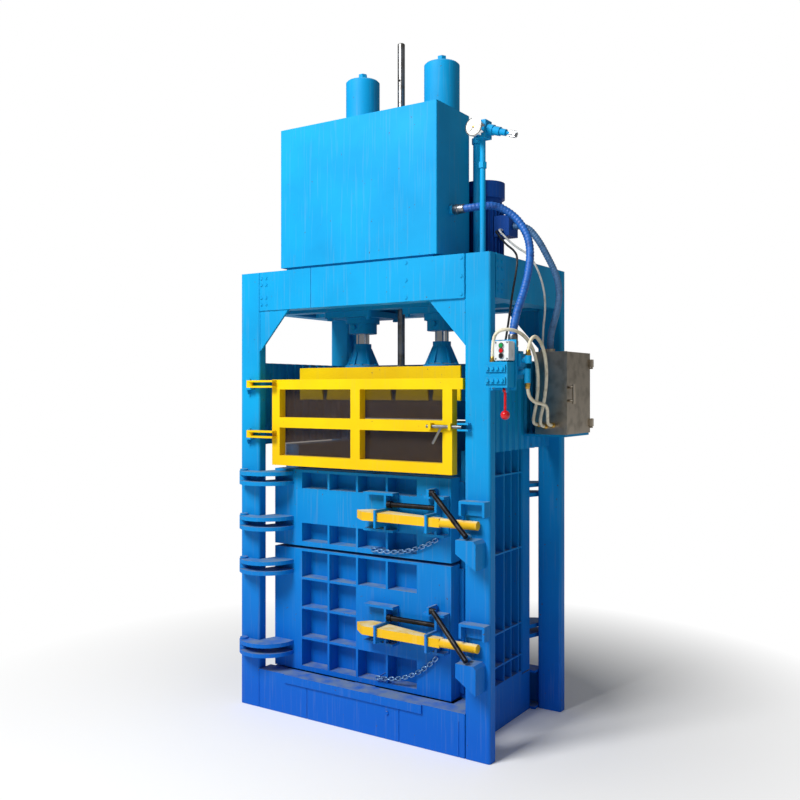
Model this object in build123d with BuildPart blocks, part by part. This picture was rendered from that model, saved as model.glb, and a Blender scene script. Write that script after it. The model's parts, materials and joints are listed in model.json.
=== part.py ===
from build123d import *
import math
import os

os.makedirs("parts", exist_ok=True)

# A vertical twin-cylinder recycling baler. Millimetres, +Z up, +X to the right, the front faces -Y.
# The origin is on the floor, at the middle of the four columns.

# Main frame
frame_width = 1470.0
frame_depth = 835.0
column_height = 2250.0
column_width = 128.0
column_depth = 58.0
column_corner = 12.0
beam_height = 198.0
beam_depth = 90.0
channel_web = 9.0
channel_flange = 12.0
side_base_width = 77.0
centre_beam_width = 120.0
cross_beam_inner = 100.0
cross_beam_width = 85.0
bush_plate_half_width = 55.0
bush_plate = 14.0
bush_radius = 34.0
bush_length = 90.0
gusset_width = 190.0
gusset_drop = 210.0
gusset_thickness = 12.0
gusset_setback = 6.0

# Face details of the front beams
seam_width = 5.0
seam_depth = 3.0
base_seams = (-290.0, 259.0, 579.0)
base_strip = (-433.0, 385.0)
base_strip_height = 40.0
base_strip_thickness = 10.0
base_bolt_x = 192.0
base_bolt_z = 123.0
top_groove_x = -264.0
top_groove_width = 9.0
top_cover_x = 284.0
top_cover_thickness = 5.0

# Bale chamber
chamber_half_width = 490.0
wall_plate = 10.0
wall_rib_depth = 77.0
wall_rib = 8.0
wall_top = 1355.0
wall_rib_levels = (300.0, 460.0, 843.0, 1222.0)
wall_front_rib = 128.0
wall_rear_ribs = (207.0, 130.0, 48.0)
wall_hole_diameter = 26.0
wall_hole_levels = (737.0, 1102.0)
wall_hole_inset = 168.0
floor_plate = 12.0
strip_height = 16.0
door_gap = 4.0
slot_pitch = 213.0
slot_mouth = 24.0
slot_root = 38.0

# Doors
door_front = 90.0
door_thickness = 85.5
door_skin = 10.0
door_edge_gap = 3.0
door_lip = 23.0
cell_inset = 175.0
cell_pitch = 177.0
cell_rib = 12.0
lower_door_bottom = 205.0
lower_door_top = 827.0
upper_door_bottom = 842.0
upper_door_top = 1233.0
rear_door_top = 1476.0

# Crescent hinges
hinge_inset = 45.0
hinge_stand_off = 25.0
hinge_pin = 28.0
hinge_play = 0.5
hinge_eye = 46.0
arm_thickness = 20.0
arm_spacing = 50.0
arm_overlap = 125.0
arm_bulge = 79.5
arm_start = (15.0, 16.0)
arm_crest = 90.0
arm_tip = 17.0
arm_root_gap = 7.0
arm_root = (20.0, 4.0)
arm_pin_side = 8.0
lug_thickness = 28.0
pin_tail = 5.0
pin_cap_gap = 1.0
pin_cap = 6.0
pin_cap_height = 8.0
upper_hinges = (957.0, 1188.0)
lower_hinges = (313.0, 732.0)
rear_hinges = (396.0, 1124.0)

# Door locks, measured from the axis of each yellow lever
upper_lock_level = 1045.0
lower_lock_level = 505.0
rear_lock_level = 1290.0
lever_diameter = 40.0
lever_stand_off = 22.5
lever_tip = 9.0
lever_reach = 80.0
lever_shoulder = 500.0
guide_play = 0.4
guide_top = 107.0
guide_bottom = 80.0
guide_plate = 12.0
guide_shelf_depth = 56.0
guide_nose = 12.0
guide_nose_ends = (50.0, 34.0)
guide_slack = 3.0
left_guide = (30.0, 200.0)
right_guide = (370.0, 480.0)
left_cheek = 150.0
right_cheek = 430.0
tie_rod_diameter = 24.0
tie_rod_rise = 52.0
bar_diameter = 24.0
bar_rise = 125.0
bar_head_x = 430.0
bar_head_stand_off = 17.5
bar_foot_reach = 59.0
bar_foot_drop = 40.0
bar_foot_stand_off = 94.5
bar_pin = 12.0
bar_pin_length = 28.0
bar_lug = (24.0, 12.0)
bar_lug_height = 34.0
bar_eye_radius = 14.0
bar_eye_half_length = 11.5
tie_rod_inset = 16.0
tie_rod_collar = 5.0
tie_rod_collar_length = 22.0

# Keepers and hooks on the front right column, measured from its inner side and the lever's axis
keeper_depth = 54.0
keeper_plate = 12.0
keeper_bottom = 42.0
keeper_top = 108.0
hook_inner = 5.0
hook_outer = 105.0
hook_bevel = (12.0, 14.0)
hook_top = 58.0
hook_waist = 120.0
hook_bottom = 186.0
hook_depth = 92.0
hook_wall = 12.0
curl_centre = (33.0, 66.0)
curl_gap = (61.0, 56.0)
curl_gap_size = (30.0, 16.0)
curl_radius = 31.0
curl_bore = 15.0
curl_thickness = 16.0
curl_setback = 34.0

# Chains
link_length = 34.0
link_width = 22.0
link_wire = 6.0
link_step = 20.2
link_pin = 6.0
link_pin_shift = 7.6
chain_samples = 6000
chain_stand_off = 13.0

# Feed gate, set by its gaps to the columns, the upper door and the top beam
gate_left_gap = 90.0
gate_right_gap = 62.0
gate_rail_gap = 8.0
gate_door_gap = 26.0
gate_head_gap = 357.0
gate_bar = 50.0
gate_depth = 45.0
gate_stand_off = 2.5
gate_mid_stile = (-20.0, 35.0)
gate_mid_rail_height = 52.0
gate_sheet = 4.0
gate_pin = 16.0
gate_pin_inset = 80.0
gate_pin_stand_off = 17.0
lower_fork_drop = 62.0
upper_fork_drop = 22.0
fork_half_gap = 9.0
fork_bar = 10.0
fork_play = 0.5
gate_lug_half_width = 20.0
gate_lug_front = 16.0
gate_lug_plate = 10.0
gate_lug_web = 8.0
gate_lug_drop = 34.0
gate_pin_head = 10.0
bolt_diameter = 16.0
bolt_stand_off = 16.0
bolt_length = 184.0
bolt_end_gap = 3.0
bolt_guides = (168.0, 64.0)
bolt_guide_width = 14.0
bolt_keeper = (-22.0, 33.0)
bolt_handle_inset = 105.0
bolt_handle_length = 88.0
bolt_handle_diameter = 12.0
bolt_handle_way = (-0.436, -0.15, -0.887)
bolt_guide_half_height = 16.0
bolt_guide_front = 15.0
keeper_slot = 6.0
keeper_slot_plate = 4.0
keeper_slot_front = 10.0

# Press: platen, rods and cylinders
platen_side_gap = 5.0
platen_end_gap = 2.0
platen_drop = 349.0
platen_height = 165.0
platen_bars_height = 70.0
front_plate = 12.0
cylinder_x = 245.0
cylinder_diameter = 180.0
cylinder_bore = 140.0
cylinder_rise = 1038.0
cylinder_drop = 58.0
gland_diameter = 150.0
gland_length = 53.0
mount_flange = 300.0
mount_flange_thickness = 30.0
rod_diameter = 70.0
rod_play = 0.6
piston_height = 60.0
seat_height = 130.0
seat_base_radius = 95.0
seat_neck_radius = 46.0
seat_ribs = 6
head_cap = 26.0
piston_gap = 3.0
gland_depth = 24.0
port_boss_radius = 13.0
port_boss_length = 20.0
port_boss_reach = 16.0
port_boss_rise = 4.0
bleed_cap_radius = 24.0
bleed_cap_height = 40.0
flange_bolt_inset = 25.0
flange_bolt_radius = 15.0
flange_bolt_height = 14.0
guide_rod_diameter = 38.0
guide_rod_rise = 155.0

# Side guards between the columns
guard_head_gap = 267.0
guard_sheet = 4.0
guard_fold = 12.0
guard_pitch = 60.0
guard_inset = 70.0
rear_guard_gap = 4.0
rear_guard_inset = 40.0

# Oil tank and power unit
tank_half_width = 463.0
tank_gap = 17.5
tank_height = 700.0
tank_bearer = 12.0
tank_edge = 6.0
tank_bearer_inset = 30.0
tank_bearer_setback = 14.0
tank_bearer_width = 60.0
tank_rear_bearer = 75.0
tank_rear_setback = 10.0
filler_inset = (130.0, 70.0)
filler_neck = (45.0, 12.0)
filler_cap = (36.0, 30.0)
tank_port = (25.0, 17.0)
tank_port_inset = 130.0
tank_port_rise = 218.0
motor_x = 455.0
motor_y = 60.0
motor_radius = 98.0
motor_fins = 28
motor_height = 330.0
motor_flange = 14.0
motor_fin = (12.0, 4.0)
motor_fins_start = 40.0
fan_cowl_height = 80.0
terminal_box_depth = 62.0
terminal_box_width = 100.0
terminal_box = (130.0, 230.0)
unit_plate = 12.0
unit_plate_sides = (110.0, 135.0)
pump_radius = 58.0
pump_drop = 130.0
return_pipe_x = 490.0
return_pipe_y = -80.0
return_pipe_diameter = 40.0
return_pipe_rise = 600.0

# Relief valve stack on the right side beam
stack_side_inset = 80.0
stack_inset = 82.5
stack_pipe = 26.0
stack_block = 60.0
stack_rise = 520.0
stack_block_height = 80.0
gauge_diameter = 84.0
gauge_thickness = 35.0
gauge_offset = 8.0
gauge_boss = (11.0, 8.0)
gauge_rim = 5.0
gauge_recess = 4.0
relief_tilt = 18.0
relief_steps = ((0.0, 40.0, 24.0), (40.0, 34.0, 20.0), (74.0, 30.0, 15.0), (104.0, 44.0, 7.0))

# Controls on the front right column
panel_bottom = 1640.0
panel_top = 1860.0
panel_reach = 121.0
panel_inset = 15.5
panel_thickness = 8.0
valve_offset = 3.0
valve_width = 112.0
valve_bottom = 1652.0
valve_top = 1762.0
valve_depth = 70.0
valve_lever_offset = 84.0
valve_pivot_drop = 12.0
valve_ball = 40.0
valve_lever_length = 106.0
valve_port_pitch = 23.0
button_box_width = 68.0
button_box_bottom = 1768.0
button_box_height = 84.0
button_box_depth = 60.0
button_diameter = 18.0
button_pitch = 22.0
button_drop = 20.0
manifold_width = 60.0
manifold_depth = 80.0
manifold_bottom = 1690.0
manifold_top = 1812.0
manifold_axis = 40.0
manifold_neck = 16.0
elbow_reach = 38.0
lower_elbow_rise = 30.0
lower_elbow_drop = 18.0
lower_elbow_height = 62.0
upper_elbow_drop = 40.0
upper_elbow_reach = 26.0
upper_elbow_depth = 15.0
upper_elbow_height = 34.0
hose_port_offset = 25.0
hose_port_inset = 47.0
button_play = 0.4

# Stainless cabinet
cabinet_depth = 150.0
cabinet_width = 320.0
cabinet_inset = 48.0
cabinet_bottom = 1430.0
cabinet_top = 1825.0
cabinet_wall = 3.0
cabinet_pin = 8.0
cabinet_hinge_insets = (30.0, 70.0)
cabinet_door_gap = 0.5
cabinet_door_lip = 6.0
cabinet_door_fold = 16.0
cabinet_pin_place = (10.0, 7.0)
cabinet_pin_length = 40.0
cabinet_knuckle = 5.0
cabinet_handle_inset = 24.0
cabinet_handle_posts = (1590.0, 1654.0)
cabinet_handle_post = (7.0, 36.0)
cabinet_handle_grip = (9.0, 92.0)
cabinet_handle_bottom = 1576.0
mounting_plate = 18.0
mounting_plate_inset = 40.0
relay_pitch = (72.0, 100.0)
relay_start = (60.0, 70.0)
relay_size = (44.0, 54.0, 66.0)
conduit_glands = ((35.0, 29.5, 48.0), (71.0, 33.5, 40.0), (107.0, 29.5, 46.0))
hose_gland = (60.0, 42.5)
cable_gland = (29.0, 24.5)

# Hoses, conduits and cables; each route is a list of points chosen by hand
hose_diameter = 38.0
pressure_hose_route = (
    (480.0, -287.5, 2480.0),
    (565.0, -287.5, 2480.0),
    (660.0, -226.0, 2496.0),
    (745.0, -190.0, 2440.0),
    (808.0, -190.0, 2350.0),
    (832.0, -208.0, 2262.0),
    (834.0, -236.0, 2172.0),
    (827.0, -270.0, 2080.0),
    (818.0, -318.0, 1994.0),
    (815.0, -355.0, 1908.0),
    (815.0, -355.0, 1830.0),
)
wrapped_hose_diameter = 34.0
wrapped_hose_route = (
    (615.0, 60.0, 2442.0),
    (682.0, 60.0, 2442.0),
    (742.0, 72.0, 2368.0),
    (782.0, 88.0, 2286.0),
    (815.0, 112.0, 2205.0),
    (832.0, 122.0, 2118.0),
    (826.0, 110.0, 2030.0),
    (808.0, 97.0, 1955.0),
    (795.0, 92.0, 1892.0),
    (795.0, 92.0, 1839.0),
)
conduit_diameter = 16.0
conduit_routes = (
    (
        (758.0, -440.0, 1762.0),
        (758.0, -440.0, 1832.0),
        (771.0, -440.0, 1893.0),
        (822.0, -420.0, 1908.0),
        (858.0, -352.0, 1890.0),
        (868.0, -272.0, 1838.0),
        (858.0, -196.0, 1760.0),
        (836.0, -134.0, 1668.0),
        (806.0, -92.0, 1574.0),
        (782.0, -74.0, 1512.0),
        (770.0, -40.0, 1478.0),
        (770.0, 20.0, 1478.0),
    ),
    (
        (892.0, -362.0, 1791.0),
        (892.0, -362.0, 1845.0),
        (898.0, -306.0, 1886.0),
        (903.0, -232.0, 1838.0),
        (892.0, -170.0, 1756.0),
        (868.0, -118.0, 1664.0),
        (838.0, -82.0, 1572.0),
        (812.0, -66.0, 1500.0),
        (806.0, -36.0, 1470.0),
        (806.0, 16.0, 1470.0),
    ),
    (
        (888.0, -362.0, 1672.0),
        (888.0, -362.0, 1620.0),
        (896.0, -304.0, 1586.0),
        (902.0, -224.0, 1580.0),
        (888.0, -150.0, 1560.0),
        (862.0, -92.0, 1514.0),
        (842.0, -44.0, 1476.0),
        (842.0, 20.0, 1476.0),
    ),
)
thin_cable_diameter = 10.0
thin_cable_route = (
    (560.0, 10.0, 2415.0),
    (560.0, -34.0, 2415.0),
    (610.0, -80.0, 2372.0),
    (668.0, -120.0, 2322.0),
    (722.0, -158.0, 2290.0),
    (762.0, -196.0, 2250.0),
    (766.0, -224.0, 2170.0),
    (759.0, -244.0, 2086.0),
    (757.0, -268.0, 1990.0),
    (764.0, -312.0, 1896.0),
    (772.0, -352.0, 1835.0),
    (772.0, -402.0, 1835.0),
)
white_cable_route = (
    (580.0, 10.0, 2420.0),
    (580.0, -44.0, 2420.0),
    (628.0, -60.0, 2372.0),
    (692.0, -66.0, 2316.0),
    (752.0, -46.0, 2278.0),
    (782.0, -8.0, 2200.0),
    (790.0, 36.0, 2112.0),
    (782.0, 64.0, 2020.0),
    (764.0, 74.0, 1925.0),
    (764.0, 74.0, 1837.0),
)

# Worked out from the sizes above: the frame and the chamber
side_x = frame_width / 2
front_y = -frame_depth / 2
rear_y = frame_depth / 2
column_inner_x = side_x - column_width
beam_inner_y = rear_y - beam_depth
top_beam_bottom = column_height - beam_height
chamber_side_x = chamber_half_width + wall_plate + wall_rib_depth
door_outer_y = rear_y - door_front
door_inner_y = door_outer_y - door_thickness
wall_half_depth = door_inner_y - door_gap
wall_hole_y = wall_half_depth - wall_hole_inset
floor_top = beam_height + floor_plate + strip_height
slot_places = (-1.5 * slot_pitch, -0.5 * slot_pitch, 0.5 * slot_pitch, 1.5 * slot_pitch)
guard_bottom = wall_top
guard_top = top_beam_bottom - guard_head_gap
rear_guard_bottom = rear_door_top + rear_guard_gap

# The doors: their hinge edge is flush with the outer side of the chamber's walls
door_hinge_edge = chamber_side_x
door_free_edge = chamber_half_width - door_edge_gap
cell_start = door_hinge_edge - cell_inset
hinge_x = side_x - hinge_inset
hinge_y = rear_y + hinge_stand_off
arm_reach = door_hinge_edge - arm_overlap
lever_y = rear_y + lever_stand_off
lever_end = column_inner_x + lever_reach
bar_foot_x = column_inner_x + bar_foot_reach

# The gate
gate_front = front_y - gate_stand_off
gate_left = -(column_inner_x - gate_left_gap)
gate_right = column_inner_x - gate_right_gap
gate_rail_end = column_inner_x - gate_rail_gap
gate_bottom = upper_door_top + gate_door_gap
gate_top = top_beam_bottom - gate_head_gap
gate_middle = (gate_bottom + gate_top) / 2
gate_mid_rail = (gate_middle - gate_mid_rail_height / 2, gate_middle + gate_mid_rail_height / 2)
gate_pin_x = -(side_x - gate_pin_inset)
gate_pin_y = gate_front - gate_pin_stand_off
gate_forks = (gate_middle - lower_fork_drop, gate_top - upper_fork_drop)
bolt_y = gate_front - bolt_stand_off
bolt_z = gate_middle
bolt_end = column_inner_x - bolt_end_gap

# The press: the cylinders hang in the top beams and the platen rests below their glands
cylinder_bottom = top_beam_bottom - cylinder_drop
cylinder_top = column_height + cylinder_rise
gland_bottom = cylinder_bottom - gland_length
guide_rod_top = cylinder_top + guide_rod_rise
platen_half_width = chamber_half_width - platen_side_gap
platen_front = wall_half_depth - platen_end_gap
platen_bottom = gland_bottom - platen_drop
platen_top = platen_bottom + platen_height
seat_top = platen_top + seat_height

# The tank and the relief stack
tank_bottom = column_height + tank_bearer
tank_top = tank_bottom + tank_height
tank_depth = rear_y - cylinder_diameter / 2 - tank_gap
tank_port_y = front_y + tank_port_inset
tank_port_z = tank_bottom + tank_port_rise
return_pipe_top = column_height + return_pipe_rise
stack_x = side_x - stack_side_inset
stack_y = front_y + stack_inset
stack_block_bottom = column_height + stack_rise

# The controls and the cabinet
panel_y = front_y + panel_inset
panel_front = panel_y - panel_thickness
panel_right = side_x + panel_reach
valve_left = side_x + valve_offset
valve_right = valve_left + valve_width
valve_lever_x = valve_left + valve_lever_offset
valve_lever_y = panel_front - valve_depth / 2
valve_pivot_z = valve_bottom - valve_pivot_drop
valve_ball_z = valve_pivot_z - valve_lever_length
button_box_x = (valve_right - button_box_width, valve_right)
button_box_z = (button_box_bottom, button_box_bottom + button_box_height)
first_button = button_box_z[1] - button_drop
button_levels = (first_button, first_button - button_pitch, first_button - 2 * button_pitch)
manifold_left = valve_right - manifold_width
cabinet_left = side_x
cabinet_right = side_x + cabinet_depth
cabinet_rear = rear_y - cabinet_inset
cabinet_front = cabinet_rear - cabinet_width
cabinet_pin_x = cabinet_right + cabinet_pin_place[0]
cabinet_pin_y = cabinet_rear + cabinet_pin_place[1]


def keep(piece, label):
    """Name a finished piece and write it."""
    piece.part.label = label
    export_step(piece.part, "parts/" + label + ".step")


def keep_loose(solids, label):
    """Name pieces that hang loose in each other and write them, each as a solid of its own."""
    group = Compound(solids)
    group.label = label
    export_step(group, "parts/" + label + ".step")


def slab(x_low, x_high, y_low, y_high, z_low, z_high, mode=Mode.ADD):
    """A plate or block between six faces, in the part that is being built."""
    with Locations(((x_low + x_high) / 2, (y_low + y_high) / 2, (z_low + z_high) / 2)):
        Box(x_high - x_low, y_high - y_low, z_high - z_low, mode=mode)


def rod_along(axis, x, y, z, radius, length, mode=Mode.ADD):
    """A round bar that starts at a point and runs along +X, +Y or +Z."""
    turn = {"x": (0, 90, 0), "y": (-90, 0, 0), "z": (0, 0, 0)}[axis]
    middle = {"x": (length / 2, 0, 0), "y": (0, length / 2, 0), "z": (0, 0, length / 2)}[axis]
    with Locations(Location((x + middle[0], y + middle[1], z + middle[2]), turn)):
        Cylinder(radius, length, mode=mode)


def facing_front(y):
    """A sketch plane at y whose drawing is seen from the front; it extrudes toward -Y."""
    return Plane.XZ.offset(-y)


def channel_x(x_low, x_high, web_y, z_low, height):
    """A channel along X; its web is outside, at web_y, and its flanges point to the middle."""
    inward = -1 if web_y > 0 else 1
    with BuildSketch(Plane.YZ.offset(x_low)) as profile:
        with Locations((web_y + inward * beam_depth / 2, z_low + height / 2)):
            Rectangle(beam_depth, height)
        with Locations((web_y + inward * (beam_depth + channel_web) / 2, z_low + height / 2)):
            Rectangle(beam_depth - channel_web, height - 2 * channel_flange, mode=Mode.SUBTRACT)
    extrude(profile.sketch, amount=x_high - x_low)


def channel_y(web_x, y_low, y_high, z_low, height, depth):
    """A channel along Y with its web outside, at web_x."""
    inward = -1 if web_x > 0 else 1
    with BuildSketch(facing_front(y_high)) as profile:
        with Locations((web_x + inward * depth / 2, z_low + height / 2)):
            Rectangle(depth, height)
        with Locations((web_x + inward * (depth + channel_web) / 2, z_low + height / 2)):
            Rectangle(depth - channel_web, height - 2 * channel_flange, mode=Mode.SUBTRACT)
    extrude(profile.sketch, amount=y_high - y_low)


# Columns: rounded rectangular tubes, closed top and bottom
for column_label, sign_x, sign_y in (
    ("column_front_left", -1, -1),
    ("column_front_right", 1, -1),
    ("column_rear_left", -1, 1),
    ("column_rear_right", 1, 1),
):
    with BuildPart() as column:
        with BuildSketch():
            with Locations((sign_x * (side_x - column_width / 2), sign_y * (rear_y - column_depth / 2))):
                RectangleRounded(column_width, column_depth, column_corner)
        extrude(amount=column_height)
    keep(column, column_label)

# Base beams
with BuildPart() as base_front_beam:
    channel_x(-column_inner_x, column_inner_x, front_y, 0, beam_height)
    for seam in base_seams:
        slab(seam - seam_width / 2, seam + seam_width / 2, front_y, front_y + seam_depth, 0,
             beam_height - base_strip_height, mode=Mode.SUBTRACT)
    slab(base_strip[0], base_strip[1], front_y - base_strip_thickness, front_y,
         beam_height - base_strip_height, beam_height)
    with BuildSketch(facing_front(front_y)):
        with Locations((base_bolt_x, base_bolt_z)):
            RegularPolygon(9, 6)
    extrude(amount=7)
keep(base_front_beam, "base_front_beam")

with BuildPart() as base_rear_beam:
    channel_x(-column_inner_x, column_inner_x, rear_y, 0, beam_height)
keep(base_rear_beam, "base_rear_beam")

with BuildPart() as base_side_beams:
    for side in (-1, 1):
        channel_y(side * chamber_side_x, -beam_inner_y, beam_inner_y, 0, beam_height, side_base_width)
keep(base_side_beams, "base_side_beams")

# Chamber floor: the middle beam of the base with the floor plate on it
with BuildPart() as chamber_floor:
    slab(-centre_beam_width / 2, centre_beam_width / 2, -beam_inner_y, beam_inner_y, 0, beam_height)
    slab(-door_hinge_edge, door_hinge_edge, -wall_half_depth, wall_half_depth,
         beam_height, beam_height + floor_plate)
keep(chamber_floor, "chamber_floor")


def strips_between_slots(half_width):
    """The five bars that are left between four strap slots: low edge, high edge, slot on each side."""
    edges = [-half_width]
    for place in slot_places:
        edges += [place, place]
    edges.append(half_width)
    return [(edges[2 * number], edges[2 * number + 1]) for number in range(len(edges) // 2)]


# Wear strips on the floor, with the strap slots between them
with BuildPart() as floor_strips:
    for low, high in strips_between_slots(chamber_half_width - 1):
        low_cut = 0 if low == -(chamber_half_width - 1) else slot_root / 2
        high_cut = 0 if high == chamber_half_width - 1 else slot_root / 2
        slab(low + low_cut, high - high_cut, -wall_half_depth, wall_half_depth,
             beam_height + floor_plate, floor_top)
keep(floor_strips, "floor_strips")

# Chamber side walls: a plate with a grid of ribs on its outer side
for wall_label, side in (("chamber_left_wall", -1), ("chamber_right_wall", 1)):
    with BuildPart() as wall:
        inner_x = side * chamber_half_width
        outer_x = side * chamber_side_x
        skin_x = side * (chamber_half_width + wall_plate)
        wall_bottom = beam_height + floor_plate
        slab(min(inner_x, outer_x), max(inner_x, outer_x), -wall_half_depth, wall_half_depth,
             wall_bottom, wall_top)
        levels = (wall_bottom,) + wall_rib_levels + (wall_top - wall_rib,)
        places = [-wall_half_depth, wall_front_rib - wall_half_depth]
        places += [wall_half_depth - inset for inset in wall_rear_ribs]
        places.append(wall_half_depth - wall_rib)
        for low_z, high_z in zip(levels, levels[1:]):
            for low_y, high_y in zip(places, places[1:]):
                slab(min(skin_x, outer_x), max(skin_x, outer_x), low_y + wall_rib, high_y,
                     low_z + wall_rib, high_z, mode=Mode.SUBTRACT)
        for level in wall_hole_levels:
            rod_along("x", min(inner_x, outer_x), wall_hole_y, level, wall_hole_diameter / 2,
                      wall_plate + wall_rib_depth, mode=Mode.SUBTRACT)
    keep(wall, wall_label)

# Top beams
with BuildPart() as top_front_beam:
    channel_x(-column_inner_x, column_inner_x, front_y, top_beam_bottom, beam_height)
    slab(top_groove_x - top_groove_width / 2, top_groove_x + top_groove_width / 2, front_y,
         front_y + seam_depth, top_beam_bottom, column_height, mode=Mode.SUBTRACT)
    slab(top_cover_x, column_inner_x, front_y - top_cover_thickness, front_y,
         top_beam_bottom, column_height)
keep(top_front_beam, "top_front_beam")

with BuildPart() as top_rear_beam:
    channel_x(-column_inner_x, column_inner_x, rear_y, top_beam_bottom, beam_height)
keep(top_rear_beam, "top_rear_beam")

with BuildPart() as top_side_beams:
    for side in (-1, 1):
        channel_y(side * side_x, -(rear_y - column_depth), rear_y - column_depth,
                  top_beam_bottom, beam_height, beam_depth)
keep(top_side_beams, "top_side_beams")

# Two cross beams carry the cylinders; a bush between them guides the rod in the middle
with BuildPart() as cross_beams:
    for side in (-1, 1):
        middle_y = side * (cross_beam_inner + cross_beam_width / 2)
        slab(-(side_x - beam_depth), side_x - beam_depth, middle_y - cross_beam_width / 2,
             middle_y + cross_beam_width / 2, top_beam_bottom, column_height)
    slab(-bush_plate_half_width, bush_plate_half_width, -cross_beam_inner, cross_beam_inner,
         column_height - bush_plate, column_height)
    bush_bottom = column_height - bush_length
    rod_along("z", 0, 0, bush_bottom, bush_radius, bush_length)
    rod_along("z", 0, 0, bush_bottom, guide_rod_diameter / 2 + rod_play, bush_length, mode=Mode.SUBTRACT)
keep(cross_beams, "cross_beams")

# Triangular gussets in the corners of the front and rear openings
with BuildPart() as corner_gussets:
    for plane_y in (front_y + gusset_setback + gusset_thickness, rear_y - gusset_setback):
        for side in (-1, 1):
            with BuildSketch(facing_front(plane_y)):
                with BuildLine():
                    Polyline(
                        (side * column_inner_x, top_beam_bottom),
                        (side * (column_inner_x - gusset_width), top_beam_bottom),
                        (side * column_inner_x, top_beam_bottom - gusset_drop),
                        close=True,
                    )
                make_face()
            extrude(amount=gusset_thickness)
keep(corner_gussets, "corner_gussets")

# Guards: folded sheets between the columns at both sides, and a plain sheet at the rear
with BuildPart() as side_guards:
    guard_half_depth = rear_y - column_depth
    fold_count = int(2 * guard_half_depth / guard_pitch)
    fold_length = 2 * guard_half_depth / fold_count
    for side in (-1, 1):
        crest = side * (side_x - guard_inset)
        near = []
        for fold in range(fold_count):
            start_y = -guard_half_depth + fold * fold_length
            near.append((crest, start_y))
            near.append((crest, start_y + 0.4 * fold_length))
            near.append((crest - side * guard_fold, start_y + 0.5 * fold_length))
            near.append((crest - side * guard_fold, start_y + 0.9 * fold_length))
        near.append((crest, guard_half_depth))
        far = [(x + side * guard_sheet, y) for x, y in reversed(near)]
        with BuildSketch(Plane.XY.offset(guard_bottom)):
            with BuildLine():
                Polyline(*near, *far, close=True)
            make_face()
        extrude(amount=guard_top - guard_bottom)
    rear_guard_y = rear_y - rear_guard_inset
    slab(-column_inner_x, column_inner_x, rear_guard_y, rear_guard_y + guard_sheet,
         rear_guard_bottom, guard_top)
keep(side_guards, "side_guards")


def crescents(levels, side, plan_y):
    """Pairs of crescent arms: an eye round the pin and an arm that bulges outward to the door."""
    way = 1 if plan_y > 0 else -1
    with BuildSketch() as plan:
        with BuildLine():
            outer = ThreePointArc(
                (side * (hinge_x + arm_start[0]), plan_y + way * arm_start[1]),
                (side * (hinge_x - arm_crest), way * (rear_y + arm_bulge)),
                (side * arm_reach, way * (door_outer_y + arm_tip)),
            )
            Polyline(
                outer @ 1,
                (side * arm_reach, way * door_outer_y),
                (side * door_hinge_edge, way * door_outer_y),
                (side * (column_inner_x - arm_root_gap), way * (rear_y - arm_root[0])),
                (side * (column_inner_x - arm_root_gap), way * (rear_y + arm_root[1])),
                (side * (hinge_x + arm_pin_side), way * (rear_y + arm_root[1])),
                outer @ 0,
            )
        make_face()
        with Locations((side * hinge_x, plan_y)):
            Circle(hinge_eye / 2)
            Circle(hinge_pin / 2 + hinge_play, mode=Mode.SUBTRACT)
    for level in levels:
        for rise in (-arm_spacing / 2, arm_spacing / 2):
            lift = level + rise - arm_thickness / 2
            extrude(plan.sketch.moved(Location((0, 0, lift))), amount=arm_thickness)


def pocket(side_x_low, side_x_high, way, z_low, z_high):
    """One cell between the ribs of a door, open to the outside."""
    outer = way * door_outer_y
    inner = way * (door_inner_y + door_skin)
    slab(side_x_low, side_x_high, min(outer, inner), max(outer, inner), z_low, z_high, mode=Mode.SUBTRACT)


def door_slab(side, way, z_low, z_high):
    """The closed block of a door, from its hinge edge to its free edge."""
    ends = sorted((side * door_hinge_edge, -side * door_free_edge))
    faces = sorted((way * door_outer_y, way * door_inner_y))
    slab(ends[0], ends[1], faces[0], faces[1], z_low, z_high)


def cells(side, way, columns, z_low, z_high):
    """A row of cells; side is -1 where the hinge is at the left."""
    for number in columns:
        low = side * cell_start - side * (number * cell_pitch + cell_rib / 2)
        high = low - side * (cell_pitch - cell_rib)
        pocket(min(low, high), max(low, high), way, z_low, z_high)


def guide(way, mirror_x, level, span, cheek_x):
    """A lock guide: a shelf above and a foot below, joined by a back plate and a slotted cheek."""
    low, high = sorted((mirror_x * span[0], mirror_x * span[1]))
    face = way * door_outer_y
    back = way * (door_outer_y + guide_plate)
    shelf = way * (door_outer_y + guide_shelf_depth)
    nose = way * (lever_y + lever_diameter / 2 + guide_nose)
    cheek = sorted((mirror_x * cheek_x, mirror_x * (cheek_x + guide_plate)))
    slab(low, high, min(face, back), max(face, back), level - guide_bottom, level + guide_top)
    slab(low, high, min(face, shelf), max(face, shelf), level + guide_top - guide_plate, level + guide_top)
    slab(low, high, min(face, shelf), max(face, shelf), level - guide_bottom,
         level - guide_bottom + guide_plate)
    slab(cheek[0], cheek[1], min(face, shelf), max(face, shelf), level - guide_bottom, level + guide_top)
    slab(cheek[0], cheek[1], min(face, nose), max(face, nose), level - guide_nose_ends[0],
         level + guide_nose_ends[1])
    window_back = way * (door_outer_y + guide_plate + guide_slack)
    window_front = way * (lever_y + lever_diameter / 2 + guide_play)
    window = sorted((window_back, window_front))
    slab(cheek[0], cheek[1], window[0], window[1], level - lever_diameter / 2 - guide_play,
         level + lever_diameter / 2 + guide_slack, mode=Mode.SUBTRACT)


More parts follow.
